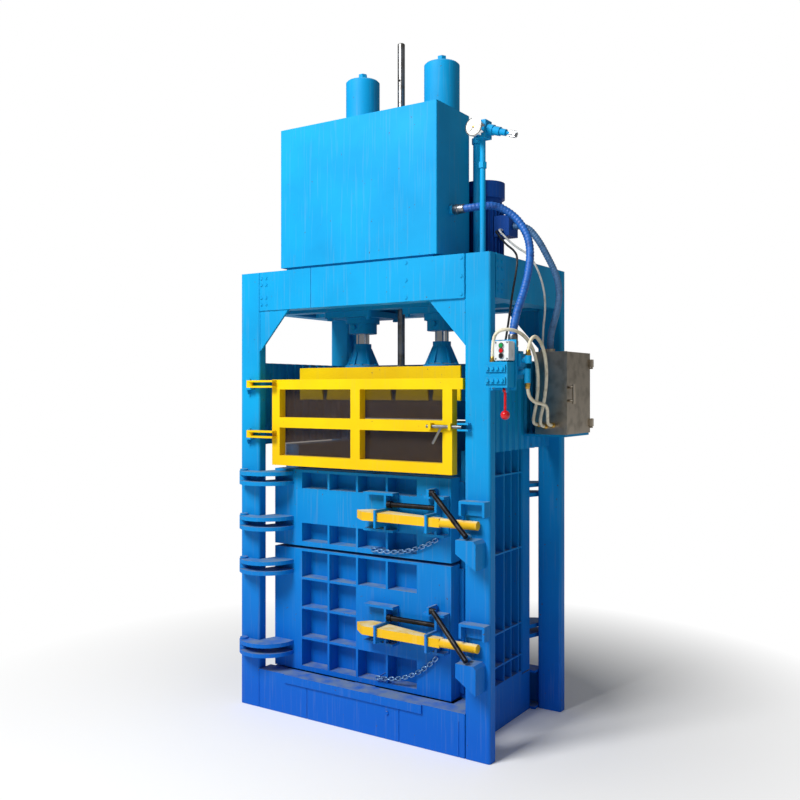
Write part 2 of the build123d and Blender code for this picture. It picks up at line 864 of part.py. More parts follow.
def lever_shape(way, mirror_x, level):
    """The yellow lever: a flat box that tapers from a pointed tip to a round bar."""
    front = way * (lever_y + lever_diameter / 2)
    back = way * (lever_y - lever_diameter / 2)
    deep = way * (door_outer_y + guide_plate + 10)
    with BuildSketch(Plane.XY.offset(level - lever_diameter / 2)) as plan:
        with BuildLine():
            Polyline(
                (mirror_x * lever_tip, (front + deep) / 2),
                (mirror_x * (lever_tip + 66), front),
                (mirror_x * lever_shoulder, front),
                (mirror_x * lever_shoulder, back),
                (mirror_x * (lever_shoulder - 60), back),
                (mirror_x * (lever_tip + 101), deep),
                (mirror_x * (lever_tip + 51), deep),
                close=True,
            )
        make_face()
    extrude(plan.sketch, amount=lever_diameter)
    ends = sorted((mirror_x * lever_shoulder, mirror_x * lever_end))
    rod_along("x", ends[0], way * lever_y, level, lever_diameter / 2, ends[1] - ends[0])


# Front doors and their locks
front_doors = (
    ("upper", upper_door_bottom, upper_door_top, upper_hinges, upper_lock_level),
    ("lower", lower_door_bottom, lower_door_top, lower_hinges, lower_lock_level),
)
chain_paths = {
    "upper": ((410.0, 943.0), (250.0, 850.0), (60.0, 866.0)),
    "lower": ((410.0, 392.0), (270.0, 245.0), (66.0, 250.0)),
}
row_edges = {
    "upper": (((0, 1, 2, 3), 866.0, 960.0), ((0, 1, 2, 3), 1138.0, 1219.0)),
    "lower": (
        ((0, 1, 2, 3), 228.0, 364.0),
        ((0, 1), 376.0, 519.0),
        ((0, 1), 531.0, 670.0),
        ((0, 1, 2, 3), 682.0, 815.0),
    ),
}


def chain_points(path):
    """Points one link step apart along the sagging line of a chain, with the slope at each."""
    start, low, end = path
    fine = []
    for number in range(chain_samples + 1):
        t = number / chain_samples
        x = (1 - t) ** 2 * start[0] + 2 * t * (1 - t) * low[0] + t**2 * end[0]
        z = (1 - t) ** 2 * start[1] + 2 * t * (1 - t) * low[1] + t**2 * end[1]
        fine.append((x, z))
    places = [fine[0]]
    for x, z in fine:
        if math.hypot(x - places[-1][0], z - places[-1][1]) >= link_step:
            places.append((x, z))
    return places[: len(places) - 1 + len(places) % 2]


def chain_pin(end, neighbour):
    """The place of a pin near the far end of an end link's hole."""
    reach = math.hypot(end[0] - neighbour[0], end[1] - neighbour[1])
    share = link_pin_shift / reach
    return (end[0] + share * (end[0] - neighbour[0]), end[1] + share * (end[1] - neighbour[1]))


for door_name, door_low, door_high, hinges, lock_level in front_doors:
    path = chain_paths[door_name]
    places = chain_points(path)
    pin_reach = door_outer_y + chain_stand_off + 9
    with BuildPart() as door:
        door_slab(-1, -1, door_low, door_high)
        slab(door_free_edge, door_free_edge + door_lip, -door_inner_y - door_skin, -door_inner_y,
             door_low + 20, door_high - 20)
        for columns, row_low, row_high in row_edges[door_name]:
            cells(-1, -1, columns, row_low, row_high)
        crescents(hinges, -1, -hinge_y)
        guide(-1, 1, lock_level, left_guide, left_cheek)
        guide(-1, 1, lock_level, right_guide, right_cheek)
        lug_low = lock_level + guide_top
        bar_head_y = -(rear_y - bar_head_stand_off)
        slab(bar_head_x - bar_lug[0], bar_head_x - bar_lug[1], bar_head_y - bar_eye_radius, -door_outer_y - 8,
             lug_low, lug_low + bar_lug_height)
        rod_along("x", bar_head_x - bar_lug[1], bar_head_y, lock_level + bar_rise, bar_pin / 2, bar_pin_length)
        for x, z in (chain_pin(places[0], places[1]), chain_pin(places[-1], places[-2])):
            rod_along("y", x, -pin_reach, z, link_pin / 2, pin_reach - door_inner_y - door_skin / 2)
    keep(door, door_name + "_door")

    with BuildPart() as lever:
        lever_shape(-1, 1, lock_level)
    keep(lever, door_name + "_lock_lever")

    with BuildPart() as tie_rod:
        rod_along("x", left_cheek + guide_plate, -(door_outer_y + guide_shelf_depth - tie_rod_inset),
                  lock_level + tie_rod_rise, tie_rod_diameter / 2, right_cheek - left_cheek - guide_plate)
        rod_along("x", left_cheek + guide_plate, -(door_outer_y + guide_shelf_depth - tie_rod_inset),
                  lock_level + tie_rod_rise, tie_rod_diameter / 2 + tie_rod_collar, tie_rod_collar_length)
    keep(tie_rod, door_name + "_tie_rod")

    head = (bar_head_x, -(rear_y - bar_head_stand_off), lock_level + bar_rise)
    foot = (bar_foot_x, -(rear_y + bar_foot_stand_off), lock_level - bar_foot_drop)
    with BuildPart() as bar:
        reach = [foot[axis] - head[axis] for axis in range(3)]
        length = math.sqrt(sum(step * step for step in reach))
        with BuildSketch(Plane(origin=head, z_dir=tuple(reach))):
            Circle(bar_diameter / 2)
        extrude(amount=length)
        eye_start = head[0] - bar_eye_half_length
        rod_along("x", eye_start, head[1], head[2], bar_eye_radius, 2 * bar_eye_half_length)
        slab(head[0] - 40, eye_start, head[1] - 30, head[1] + 30, head[2] - 30, head[2] + 30,
             mode=Mode.SUBTRACT)
        rod_along("x", eye_start, head[1], head[2], bar_pin / 2 + guide_play, bar_pin_length,
                  mode=Mode.SUBTRACT)
    keep(bar, door_name + "_lock_bar")

    links = []
    last = len(places) - 1
    for number, (x, z) in enumerate(places):
        before = places[max(number - 1, 0)]
        after = places[min(number + 1, last)]
        along = Vector(after[0] - before[0], 0, after[1] - before[1]).normalized()
        across = Vector(0, 1, 0)
        normal = across if number % 2 == 0 else along.cross(across)
        side_face = Vector(x, -(door_outer_y + chain_stand_off), z) - normal * (link_wire / 2)
        with BuildPart() as link:
            with BuildSketch(Plane(origin=side_face, x_dir=along, z_dir=normal)):
                SlotOverall(link_length, link_width)
                SlotOverall(link_length - 2 * link_wire, link_width - 2 * link_wire, mode=Mode.SUBTRACT)
            extrude(amount=link_wire)
        links.append(link.part.solid())
    keep_loose(links, door_name + "_chain")

# Rear door: one tall door hung on the rear right column, with one lock of the same kind
with BuildPart() as rear_door:
    door_slab(1, 1, lower_door_bottom, rear_door_top)
    rear_rows = 7
    rear_pitch = (rear_door_top - lower_door_bottom - cell_rib) / rear_rows
    for row in range(rear_rows):
        row_low = lower_door_bottom + cell_rib + row * rear_pitch
        if row_low < rear_lock_level < row_low + rear_pitch:
            continue
        cells(1, 1, (0, 1, 2, 3), row_low, row_low + rear_pitch - cell_rib)
    crescents(rear_hinges, 1, hinge_y)
    guide(1, -1, rear_lock_level, left_guide, left_cheek)
    guide(1, -1, rear_lock_level, right_guide, right_cheek)
keep(rear_door, "rear_door")

with BuildPart() as rear_lock_lever:
    lever_shape(1, -1, rear_lock_level)
keep(rear_lock_lever, "rear_lock_lever")


def column_lug(level, side, way):
    """A lug between two crescents, with the pin that stands in it."""
    with BuildSketch(Plane.XY.offset(level - lug_thickness / 2)) as plan:
        with Locations((side * hinge_x, way * hinge_y)):
            Circle(hinge_eye / 2)
        with Locations((side * hinge_x, way * (rear_y + hinge_stand_off / 2))):
            Rectangle(hinge_eye, hinge_stand_off)
    extrude(plan.sketch, amount=lug_thickness)
    pin_half = arm_spacing / 2 + arm_thickness / 2
    rod_along("z", side * hinge_x, way * hinge_y, level - pin_half - pin_tail, hinge_pin / 2,
              2 * pin_half + pin_tail + pin_cap_gap)
    rod_along("z", side * hinge_x, way * hinge_y, level + pin_half + pin_cap_gap, hinge_pin / 2 + pin_cap,
              pin_cap_height)


with BuildPart() as hinge_lugs:
    for level in lower_hinges + upper_hinges:
        column_lug(level, -1, -1)
    for level in rear_hinges:
        column_lug(level, 1, 1)
    for level in gate_forks:
        lug_top = level - fork_half_gap - fork_bar - fork_play
        lug_left = gate_pin_x - gate_lug_half_width
        slab(lug_left, gate_pin_x + gate_lug_half_width, gate_pin_y - gate_lug_front, front_y,
             lug_top - gate_lug_plate, lug_top)
        slab(lug_left, lug_left + gate_lug_web, gate_pin_y, front_y, lug_top - gate_lug_drop,
             lug_top - gate_lug_plate)
        rod_along("z", gate_pin_x, gate_pin_y, lug_top, gate_pin / 2,
                  2 * (fork_half_gap + fork_bar) + gate_pin_head)
keep(hinge_lugs, "hinge_lugs")


def lock_keeper(level, mirror_x, way):
    """An angled keeper over the round end of a lever, welded to the column."""
    inner, outer = sorted((mirror_x * column_inner_x, mirror_x * side_x))
    face = way * rear_y
    nose = way * (rear_y + keeper_depth)
    back = way * (rear_y + keeper_plate)
    slab(inner, outer, min(face, nose), max(face, nose), level + keeper_top - keeper_plate,
         level + keeper_top)
    slab(inner, outer, min(face, back), max(face, back), level + keeper_bottom,
         level + keeper_top)
    for end in (inner, outer - keeper_plate):
        slab(end, end + keeper_plate, min(face, nose), max(face, nose), level + keeper_bottom,
             level + keeper_top)


def lock_hook(level):
    """A pointed bracket under the lever with a curled hook that the foot of the bar rests over."""
    left = column_inner_x + hook_inner
    right = column_inner_x + hook_outer
    top = level - hook_top
    bottom = level - hook_bottom
    with BuildSketch(facing_front(front_y)) as shield:
        with BuildLine():
            Polyline(
                (left, level - hook_waist),
                (left, top),
                (right - hook_bevel[0], top),
                (right, top - hook_bevel[1]),
                (right, bottom),
                close=True,
            )
        make_face()
    extrude(shield.sketch, amount=hook_depth)
    slab(left + hook_wall, right - hook_wall, front_y - hook_depth + hook_wall, front_y - hook_wall,
         bottom + 10, top - hook_wall, mode=Mode.SUBTRACT)
    with BuildSketch(facing_front(front_y - curl_setback)) as curl:
        with Locations((column_inner_x + curl_centre[0], level - curl_centre[1])):
            Circle(curl_radius)
            Circle(curl_bore, mode=Mode.SUBTRACT)
        with Locations((column_inner_x + curl_gap[0], level - curl_gap[1])):
            Rectangle(curl_gap_size[0], curl_gap_size[1], mode=Mode.SUBTRACT)
    extrude(curl.sketch, amount=curl_thickness)


with BuildPart() as lock_brackets:
    for level in (upper_lock_level, lower_lock_level):
        lock_keeper(level, 1, -1)
    lock_keeper(rear_lock_level, -1, 1)
    for rise in (-1, 1):
        plate_z = bolt_z + rise * (bolt_diameter / 2 + keeper_slot)
        slab(column_inner_x + bolt_keeper[0], column_inner_x + bolt_keeper[1], bolt_y - keeper_slot_front,
             front_y, plate_z - keeper_slot_plate, plate_z + keeper_slot_plate)
    for level in (upper_lock_level, lower_lock_level):
        lock_hook(level)
keep(lock_brackets, "lock_brackets")

# Feed gate
with BuildPart() as gate_frame:
    gate_back = gate_front + gate_depth
    with BuildSketch(facing_front(gate_back)):
        with Locations(((gate_left + gate_right) / 2, (gate_bottom + gate_top) / 2)):
            Rectangle(gate_right - gate_left, gate_top - gate_bottom)
        with Locations(((gate_right + gate_rail_end) / 2, gate_top - gate_bar / 2)):
            Rectangle(gate_rail_end - gate_right, gate_bar)
        columns = ((gate_left + gate_bar, gate_mid_stile[0]), (gate_mid_stile[1], gate_right - gate_bar))
        rows = ((gate_bottom + gate_bar, gate_mid_rail[0]), (gate_mid_rail[1], gate_top - gate_bar))
        for low_x, high_x in columns:
            for low_z, high_z in rows:
                with Locations(((low_x + high_x) / 2, (low_z + high_z) / 2)):
                    Rectangle(high_x - low_x, high_z - low_z, mode=Mode.SUBTRACT)
    extrude(amount=gate_depth)
    fork_radius = gate_front - gate_pin_y
    for level in gate_forks:
        for rise in (-1, 1):
            bar_z = level + rise * (fork_half_gap + fork_bar / 2)
            slab(gate_pin_x, gate_left + 30, gate_front - 2 * fork_radius, gate_front,
                 bar_z - fork_bar / 2, bar_z + fork_bar / 2)
        rod_along("z", gate_pin_x, gate_pin_y, level - fork_half_gap - fork_bar, fork_radius,
                  2 * (fork_half_gap + fork_bar))
        rod_along("z", gate_pin_x, gate_pin_y, level - fork_half_gap - fork_bar, gate_pin / 2 + guide_play,
                  2 * (fork_half_gap + fork_bar), mode=Mode.SUBTRACT)
    for inset in bolt_guides:
        guide_x = bolt_end - inset
        slab(guide_x, guide_x + bolt_guide_width, bolt_y - bolt_guide_front, gate_front,
             bolt_z - bolt_guide_half_height, bolt_z + bolt_guide_half_height)
        rod_along("x", guide_x, bolt_y, bolt_z, bolt_diameter / 2 + guide_play, bolt_guide_width,
                  mode=Mode.SUBTRACT)
keep(gate_frame, "gate_frame")

with BuildPart() as gate_panel:
    slab(gate_left + 8, gate_right - 8, gate_back, gate_back + gate_sheet, gate_bottom + 8, gate_top - 8)
keep(gate_panel, "gate_panel")

with BuildPart() as gate_bolt:
    rod_along("x", bolt_end - bolt_length, bolt_y, bolt_z, bolt_diameter / 2, bolt_length)
    handle_root = (bolt_end - bolt_handle_inset, bolt_y, bolt_z)
    with BuildSketch(Plane(origin=handle_root, z_dir=bolt_handle_way)):
        Circle(bolt_handle_diameter / 2)
    extrude(amount=bolt_handle_length)
keep(gate_bolt, "gate_bolt")

# Platen with its strap bars, yellow front plate, rods and guide rod
front_skin_y = -(platen_front - front_plate)
with BuildPart() as platen:
    slab(-platen_half_width, platen_half_width, front_skin_y, platen_front,
         platen_bottom + platen_bars_height, platen_top)
    for side in (-1, 1):
        row_y = sorted((side * 112, side * (platen_front - 24)))
        for low_x in (-470, -230, 10, 250):
            slab(low_x, low_x + 220, row_y[0], row_y[1], platen_top - 60, platen_top, mode=Mode.SUBTRACT)
    for side in (-1, 1):
        axis_x = side * cylinder_x
        with BuildSketch(Plane(origin=(axis_x, 0, 0), x_dir=(1, 0, 0), z_dir=(0, -1, 0))):
            with BuildLine():
                Polyline(
                    (rod_diameter / 2 + rod_play / 2, platen_top),
                    (seat_base_radius, platen_top),
                    (seat_base_radius, platen_top + 14),
                    (seat_base_radius - 25, platen_top + 22),
                    (seat_neck_radius, seat_top - 28),
                    (seat_neck_radius, seat_top),
                    (rod_diameter / 2 + rod_play / 2, seat_top),
                    close=True,
                )
            make_face()
        revolve(axis=Axis((axis_x, 0, 0), (0, 0, 1)))
        for number in range(seat_ribs):
            angle = 2 * math.pi * (number + 0.5) / seat_ribs
            across = (math.cos(angle), math.sin(angle), 0)
            with BuildSketch(Plane(origin=(axis_x, 0, 0), x_dir=across, z_dir=(across[1], -across[0], 0))):
                with BuildLine():
                    Polyline(
                        (seat_neck_radius - 6, platen_top + 10),
                        (seat_base_radius - 6, platen_top + 10),
                        (seat_neck_radius + 2, seat_top - 24),
                        (seat_neck_radius - 6, seat_top - 24),
                        close=True,
                    )
                make_face()
            extrude(amount=4, both=True)
        with BuildSketch(Plane.XY.offset(platen_top + 14)):
            with Locations((axis_x, 0)):
                with PolarLocations(seat_base_radius - 13, seat_ribs):
                    RegularPolygon(9, 6)
        extrude(amount=9)
keep(platen, "platen")


with BuildPart() as platen_bars:
    bar_top = platen_bottom + platen_bars_height
    for number, (low, high) in enumerate(strips_between_slots(platen_half_width)):
        low_mouth = 0 if number == 0 else slot_mouth / 2
        low_root = 0 if number == 0 else slot_root / 2
        high_mouth = 0 if number == len(slot_places) else slot_mouth / 2
        high_root = 0 if number == len(slot_places) else slot_root / 2
        with BuildSketch(facing_front(platen_front)):
            with BuildLine():
                Polyline(
                    (low + low_mouth, platen_bottom),
                    (high - high_mouth, platen_bottom),
                    (high - high_root, bar_top),
                    (low + low_root, bar_top),
                    close=True,
                )
            make_face()
        extrude(amount=platen_front - front_skin_y)
keep(platen_bars, "platen_bars")

with BuildPart() as platen_front_plate:
    with BuildSketch(facing_front(front_skin_y)):
        with Locations((0, platen_bottom + platen_height / 2)):
            Rectangle(2 * platen_half_width, platen_height)
        for place in slot_places:
            with BuildLine():
                Polyline(
                    (place - slot_mouth / 2, platen_bottom),
                    (place + slot_mouth / 2, platen_bottom),
                    (place + slot_root / 2, bar_top),
                    (place - slot_root / 2, bar_top),
                    close=True,
                )
            make_face(mode=Mode.SUBTRACT)
    extrude(amount=front_plate)
keep(platen_front_plate, "platen_front_plate")

with BuildPart() as piston_rods:
    piston_top = cylinder_top - head_cap - piston_gap
    for side in (-1, 1):
        rod_along("z", side * cylinder_x, 0, platen_top, rod_diameter / 2, piston_top - platen_top)
        rod_along("z", side * cylinder_x, 0, piston_top - piston_height, cylinder_bore / 2 - rod_play,
                  piston_height)
keep(piston_rods, "piston_rods")

with BuildPart() as guide_rod:
    rod_along("z", 0, 0, platen_top, guide_rod_diameter / 2, guide_rod_top - platen_top)
    rod_along("z", 0, 0, platen_top, guide_rod_diameter / 2 + 20, 14)
    rod_along("y", 0, -guide_rod_diameter, guide_rod_top - 196, 6, 2 * guide_rod_diameter, mode=Mode.SUBTRACT)
    chamfer(guide_rod.edges().group_by(Axis.Z)[-1], 4)
keep(guide_rod, "guide_rod")

bolt_spread = mount_flange - 2 * flange_bolt_inset
for cylinder_label, side in (("cylinder_left", -1), ("cylinder_right", 1)):
    with BuildPart() as cylinder:
        with BuildSketch(Plane(origin=(side * cylinder_x, 0, 0), x_dir=(1, 0, 0), z_dir=(0, -1, 0))):
            with BuildLine():
                Polyline(
                    (rod_diameter / 2 + rod_play, gland_bottom),
                    (gland_diameter / 2, gland_bottom),
                    (gland_diameter / 2, cylinder_bottom),
                    (cylinder_diameter / 2, cylinder_bottom),
                    (cylinder_diameter / 2, cylinder_top - 8),
                    (cylinder_diameter / 2 - 8, cylinder_top),
                    (0, cylinder_top),
                    (0, cylinder_top - head_cap),
                    (cylinder_bore / 2, cylinder_top - head_cap),
                    (cylinder_bore / 2, cylinder_bottom + gland_depth),
                    (rod_diameter / 2 + rod_play, cylinder_bottom + gland_depth),
                    close=True,
                )
            make_face()
        revolve(axis=Axis((side * cylinder_x, 0, 0), (0, 0, 1)))
        with BuildSketch(Plane.XY.offset(top_beam_bottom - mount_flange_thickness)):
            with Locations((side * cylinder_x, 0)):
                RectangleRounded(mount_flange, mount_flange, 20)
                Circle(cylinder_diameter / 2, mode=Mode.SUBTRACT)
        extrude(amount=mount_flange_thickness)
        with BuildSketch(Plane.XY.offset(top_beam_bottom - mount_flange_thickness)):
            with Locations((side * cylinder_x, 0)):
                with GridLocations(bolt_spread, bolt_spread, 2, 2):
                    RegularPolygon(flange_bolt_radius, 6)
        extrude(amount=-flange_bolt_height)
        with BuildSketch(Plane.XY.offset(cylinder_top)):
            with Locations((side * cylinder_x, 0)):
                RegularPolygon(bleed_cap_radius, 6)
        extrude(amount=bleed_cap_height)
        rod_along("y", side * cylinder_x, -gland_diameter / 2 - port_boss_reach,
                  (gland_bottom + cylinder_bottom) / 2 + port_boss_rise, port_boss_radius, port_boss_length)
    keep(cylinder, cylinder_label)

# Oil tank on its bearers
with BuildPart() as oil_tank:
    slab(-tank_half_width, tank_half_width, front_y, front_y + tank_depth, tank_bottom, tank_top)
    fillet(oil_tank.edges().filter_by(Axis.Z), tank_edge)
    bearer_half = tank_half_width - tank_bearer_inset
    bearer_front = front_y + tank_bearer_setback
    tank_rear = front_y + tank_depth
    slab(-bearer_half, bearer_half, bearer_front, bearer_front + tank_bearer_width, column_height, tank_bottom)
    slab(-bearer_half, bearer_half, -cross_beam_inner - tank_rear_bearer, tank_rear - tank_rear_setback,
         column_height, tank_bottom)
    filler_x = -tank_half_width + filler_inset[0]
    filler_y = tank_rear - filler_inset[1]
    rod_along("z", filler_x, filler_y, tank_top, filler_neck[0], filler_neck[1])
    rod_along("z", filler_x, filler_y, tank_top + filler_neck[1], filler_cap[0], filler_cap[1])
    rod_along("x", tank_half_width, tank_port_y, tank_port_z, tank_port[0], tank_port[1])
keep(oil_tank, "oil_tank")

# Power unit: a vertical motor on a plate, with the pump and the return pipe below and beside it
with BuildPart() as motor:
    base_z = column_height + unit_plate
    rod_along("z", motor_x, motor_y, base_z, motor_radius + 8, motor_flange)
    rod_along("z", motor_x, motor_y, base_z + motor_flange, motor_radius - 10, motor_height)
    with BuildSketch(Plane.XY.offset(base_z + motor_fins_start)):
        with Locations((motor_x, motor_y)):
            with PolarLocations(motor_radius - 6, motor_fins):
                Rectangle(motor_fin[0], motor_fin[1])
    extrude(amount=motor_height - 70)
    rod_along("z", motor_x, motor_y, base_z + motor_height - 6, motor_radius + 4, fan_cowl_height)
    slab(motor_x + motor_radius - 20, motor_x + motor_radius + terminal_box_depth,
         motor_y - terminal_box_width / 2, motor_y + terminal_box_width / 2,
         base_z + terminal_box[0], base_z + terminal_box[1])
    rod_along("z", motor_x, motor_y, base_z + motor_height + 66, motor_radius - 20, 8, mode=Mode.SUBTRACT)
keep(motor, "motor")

with BuildPart() as pump:
    slab(motor_x - unit_plate_sides[0], motor_x + unit_plate_sides[1], -cross_beam_inner + 2,
         motor_y + motor_radius + 30, column_height, column_height + unit_plate)
    rod_along("z", motor_x, motor_y - 18, column_height - pump_drop, pump_radius - 8, pump_drop)
    rod_along("z", motor_x, motor_y - 18, column_height - pump_drop + 20, pump_radius, 40)
    rod_along("z", return_pipe_x, return_pipe_y, column_height + unit_plate, return_pipe_diameter / 2,
              return_pipe_top - column_height - unit_plate)
    rod_along("z", return_pipe_x, return_pipe_y, return_pipe_top - 20, return_pipe_diameter / 2 + 6, 26)
keep(pump, "pump")

# Relief valve stack: a pipe from the side beam, a block, the pressure gauge and the relief valve
with BuildPart() as relief_stack:
    rod_along("z", stack_x, stack_y, column_height, stack_pipe / 2 + 10, 10)
    rod_along("z", stack_x, stack_y, column_height, stack_pipe / 2, stack_block_bottom - column_height)
    with BuildSketch(Plane.XY.offset(stack_block_bottom - 130)):
        with Locations((stack_x, stack_y)):
            RegularPolygon(stack_pipe / 2 + 7, 6)
    extrude(amount=26)
    slab(stack_x - stack_block / 2, stack_x + stack_block / 2, stack_y - stack_block / 2,
         stack_y + stack_block / 2, stack_block_bottom, stack_block_bottom + stack_block_height)
    tilt = math.radians(relief_tilt)
    relief_way = (math.cos(tilt), 0, -math.sin(tilt))
    relief_start = (stack_x + stack_block / 2 - 12, stack_y, stack_block_bottom + 44)
    for start, length, radius in relief_steps:
        origin = tuple(relief_start[axis] + start * relief_way[axis] for axis in range(3))
        with BuildSketch(Plane(origin=origin, z_dir=relief_way)):
            Circle(radius)
        extrude(amount=length)
keep(relief_stack, "relief_stack")

knob_start = relief_steps[-1][0] + relief_steps[-1][1] - 22
with BuildPart() as relief_knob:
    knob_origin = tuple(relief_start[axis] + knob_start * relief_way[axis] for axis in range(3))
    with BuildSketch(Plane(origin=knob_origin, z_dir=relief_way)):
        Circle(15)
        with PolarLocations(15, 8):
            Circle(3, mode=Mode.SUBTRACT)
    extrude(amount=30)
    with BuildSketch(Plane(origin=knob_origin, z_dir=relief_way)):
        Circle(relief_steps[-1][2] + rod_play)
    extrude(amount=22.5, mode=Mode.SUBTRACT)
keep(relief_knob, "relief_knob")

with BuildPart() as pressure_gauge:
    gauge_back = stack_y - stack_block / 2
    gauge_z = stack_block_bottom + 40
    gauge_x = stack_x - gauge_offset
    case_back = gauge_back - gauge_boss[1]
    case_front = case_back - gauge_thickness
    rod_along("y", gauge_x, case_back, gauge_z, gauge_boss[0], gauge_boss[1])
    rod_along("y", gauge_x, case_front, gauge_z, gauge_diameter / 2, gauge_thickness)
    rod_along("y", gauge_x, case_front, gauge_z, gauge_diameter / 2 - gauge_rim, gauge_recess,
              mode=Mode.SUBTRACT)
keep(pressure_gauge, "pressure_gauge")

# Controls: an angle bracket on the column carries the valve, its manifold and the button box
with BuildPart() as control_bracket:
    slab(side_x, side_x + panel_thickness, panel_front, column_depth - rear_y, panel_bottom, panel_top)
    slab(side_x, panel_right, panel_front, panel_y, panel_bottom, panel_top)
    slab(side_x - column_width / 2, side_x + cabinet_depth, cabinet_front + 10, rear_y - column_depth,
         cabinet_bottom - 12, cabinet_bottom)
keep(control_bracket, "control_bracket")

with BuildPart() as valve:
    slab(valve_left, valve_right, panel_front - valve_depth, panel_front, valve_bottom, valve_top)
    fillet(valve.edges().filter_by(Axis.Z), 5)
    for row_z in (valve_top - 28, valve_bottom + 30):
        slab(valve_left + 8, valve_right - 8, panel_front - valve_depth - 8, panel_front - valve_depth,
             row_z - 15, row_z + 15)
        for number in range(4):
            port_x = valve_left + 21 + number * valve_port_pitch
            rod_along("y", port_x, panel_front - valve_depth - 16, row_z, 8, 9)
    for cheek_x in (valve_lever_x - 13, valve_lever_x + 8):
        slab(cheek_x, cheek_x + 5, valve_lever_y - 10, valve_lever_y + 10, valve_pivot_z - 9, valve_bottom)
    rod_along("x", valve_lever_x - 13, valve_lever_y, valve_pivot_z, 4, 26)
keep(valve, "valve")

with BuildPart() as valve_lever:
    rod_along("x", valve_lever_x - 7, valve_lever_y, valve_pivot_z, 9, 14)
    rod_along("z", valve_lever_x, valve_lever_y, valve_ball_z + 10, 5.5, valve_pivot_z - valve_ball_z - 14)
    with Locations((valve_lever_x, valve_lever_y, valve_ball_z)):
        Sphere(valve_ball / 2)
    rod_along("x", valve_lever_x - 7, valve_lever_y, valve_pivot_z, 4 + guide_play, 14, mode=Mode.SUBTRACT)
keep(valve_lever, "valve_lever")

with BuildPart() as manifold:
    slab(manifold_left, valve_right, panel_y, panel_y + manifold_depth, manifold_bottom, manifold_top)
    slab(valve_right, valve_right + manifold_neck, panel_y + 14, panel_y + manifold_depth - 14,
         manifold_top - 68, manifold_top - 12)
    elbow_y = panel_y + manifold_axis
    lower_elbow_z = manifold_bottom + lower_elbow_rise
    rod_along("x", valve_right, elbow_y, lower_elbow_z, 12, elbow_reach)
    rod_along("z", valve_right + elbow_reach, elbow_y, manifold_bottom - lower_elbow_drop, 14,
              lower_elbow_height)
    upper_elbow_z = manifold_top - upper_elbow_drop
    upper_elbow_x = valve_right + manifold_neck + upper_elbow_reach
    rod_along("z", manifold_left + hose_port_offset, panel_y + hose_port_inset, manifold_top, 24, 18)
    rod_along("x", valve_right + manifold_neck, elbow_y, upper_elbow_z, 13, upper_elbow_reach)
    rod_along("z", upper_elbow_x, elbow_y, upper_elbow_z - upper_elbow_depth, 15, upper_elbow_height)
keep(manifold, "manifold")

with BuildPart() as button_box:
    slab(button_box_x[0], button_box_x[1], panel_front - button_box_depth, panel_front,
         button_box_z[0], button_box_z[1])
    fillet(button_box.edges().filter_by(Axis.Y), 6)
    box_face = panel_front - button_box_depth
    box_middle = (button_box_x[0] + button_box_x[1]) / 2
    for level in button_levels:
        rod_along("y", box_middle, box_face, level, button_diameter / 2 + button_play, 22, mode=Mode.SUBTRACT)
keep(button_box, "button_box")

for button_label, level in zip(("start_button", "stop_button", "jog_button"), button_levels):
    with BuildPart() as button:
        rod_along("y", box_middle, box_face - 7, level, button_diameter / 2, 22)
        chamfer(button.edges().group_by(Axis.Y)[0], 1.5)
    keep(button, button_label)

# Stainless cabinet: a folded box, open on its outer side, and its hinged door
with BuildPart() as cabinet:
    slab(cabinet_left, cabinet_right, cabinet_front, cabinet_rear, cabinet_bottom, cabinet_top)
    slab(cabinet_left + cabinet_wall, cabinet_right, cabinet_front + cabinet_wall, cabinet_rear - cabinet_wall,
         cabinet_bottom + cabinet_wall, cabinet_top - cabinet_wall, mode=Mode.SUBTRACT)
    plate_x = cabinet_left + mounting_plate
    slab(cabinet_left + cabinet_wall, plate_x, cabinet_front + mounting_plate_inset,
         cabinet_rear - mounting_plate_inset, cabinet_bottom + mounting_plate_inset,
         cabinet_top - mounting_plate_inset)
    for row in range(3):
        for place in range(3):
            low_y = cabinet_front + relay_start[0] + place * relay_pitch[0]
            low_z = cabinet_bottom + relay_start[1] + row * relay_pitch[1]
            slab(plate_x, plate_x + relay_size[0], low_y, low_y + relay_size[1], low_z, low_z + relay_size[2])
    for offset, length, rise in conduit_glands:
        rod_along("y", cabinet_left + offset, cabinet_front - length, cabinet_bottom + rise,
                  conduit_diameter / 2 + 4, length)
    rod_along("z", cabinet_left + hose_gland[0], cabinet_front + hose_gland[1], cabinet_top, 23, 14)
    rod_along("z", cabinet_left + cable_gland[0], cabinet_front + cable_gland[1], cabinet_top, 12, 12)
    for low_z in (cabinet_bottom + cabinet_hinge_insets[0], cabinet_top - cabinet_hinge_insets[1]):
        rod_along("z", cabinet_pin_x, cabinet_pin_y, low_z, cabinet_pin / 2, cabinet_pin_length)
        slab(cabinet_right - 12, cabinet_right + 14, cabinet_rear, cabinet_rear + 11, low_z - 8, low_z)
keep(cabinet, "cabinet")

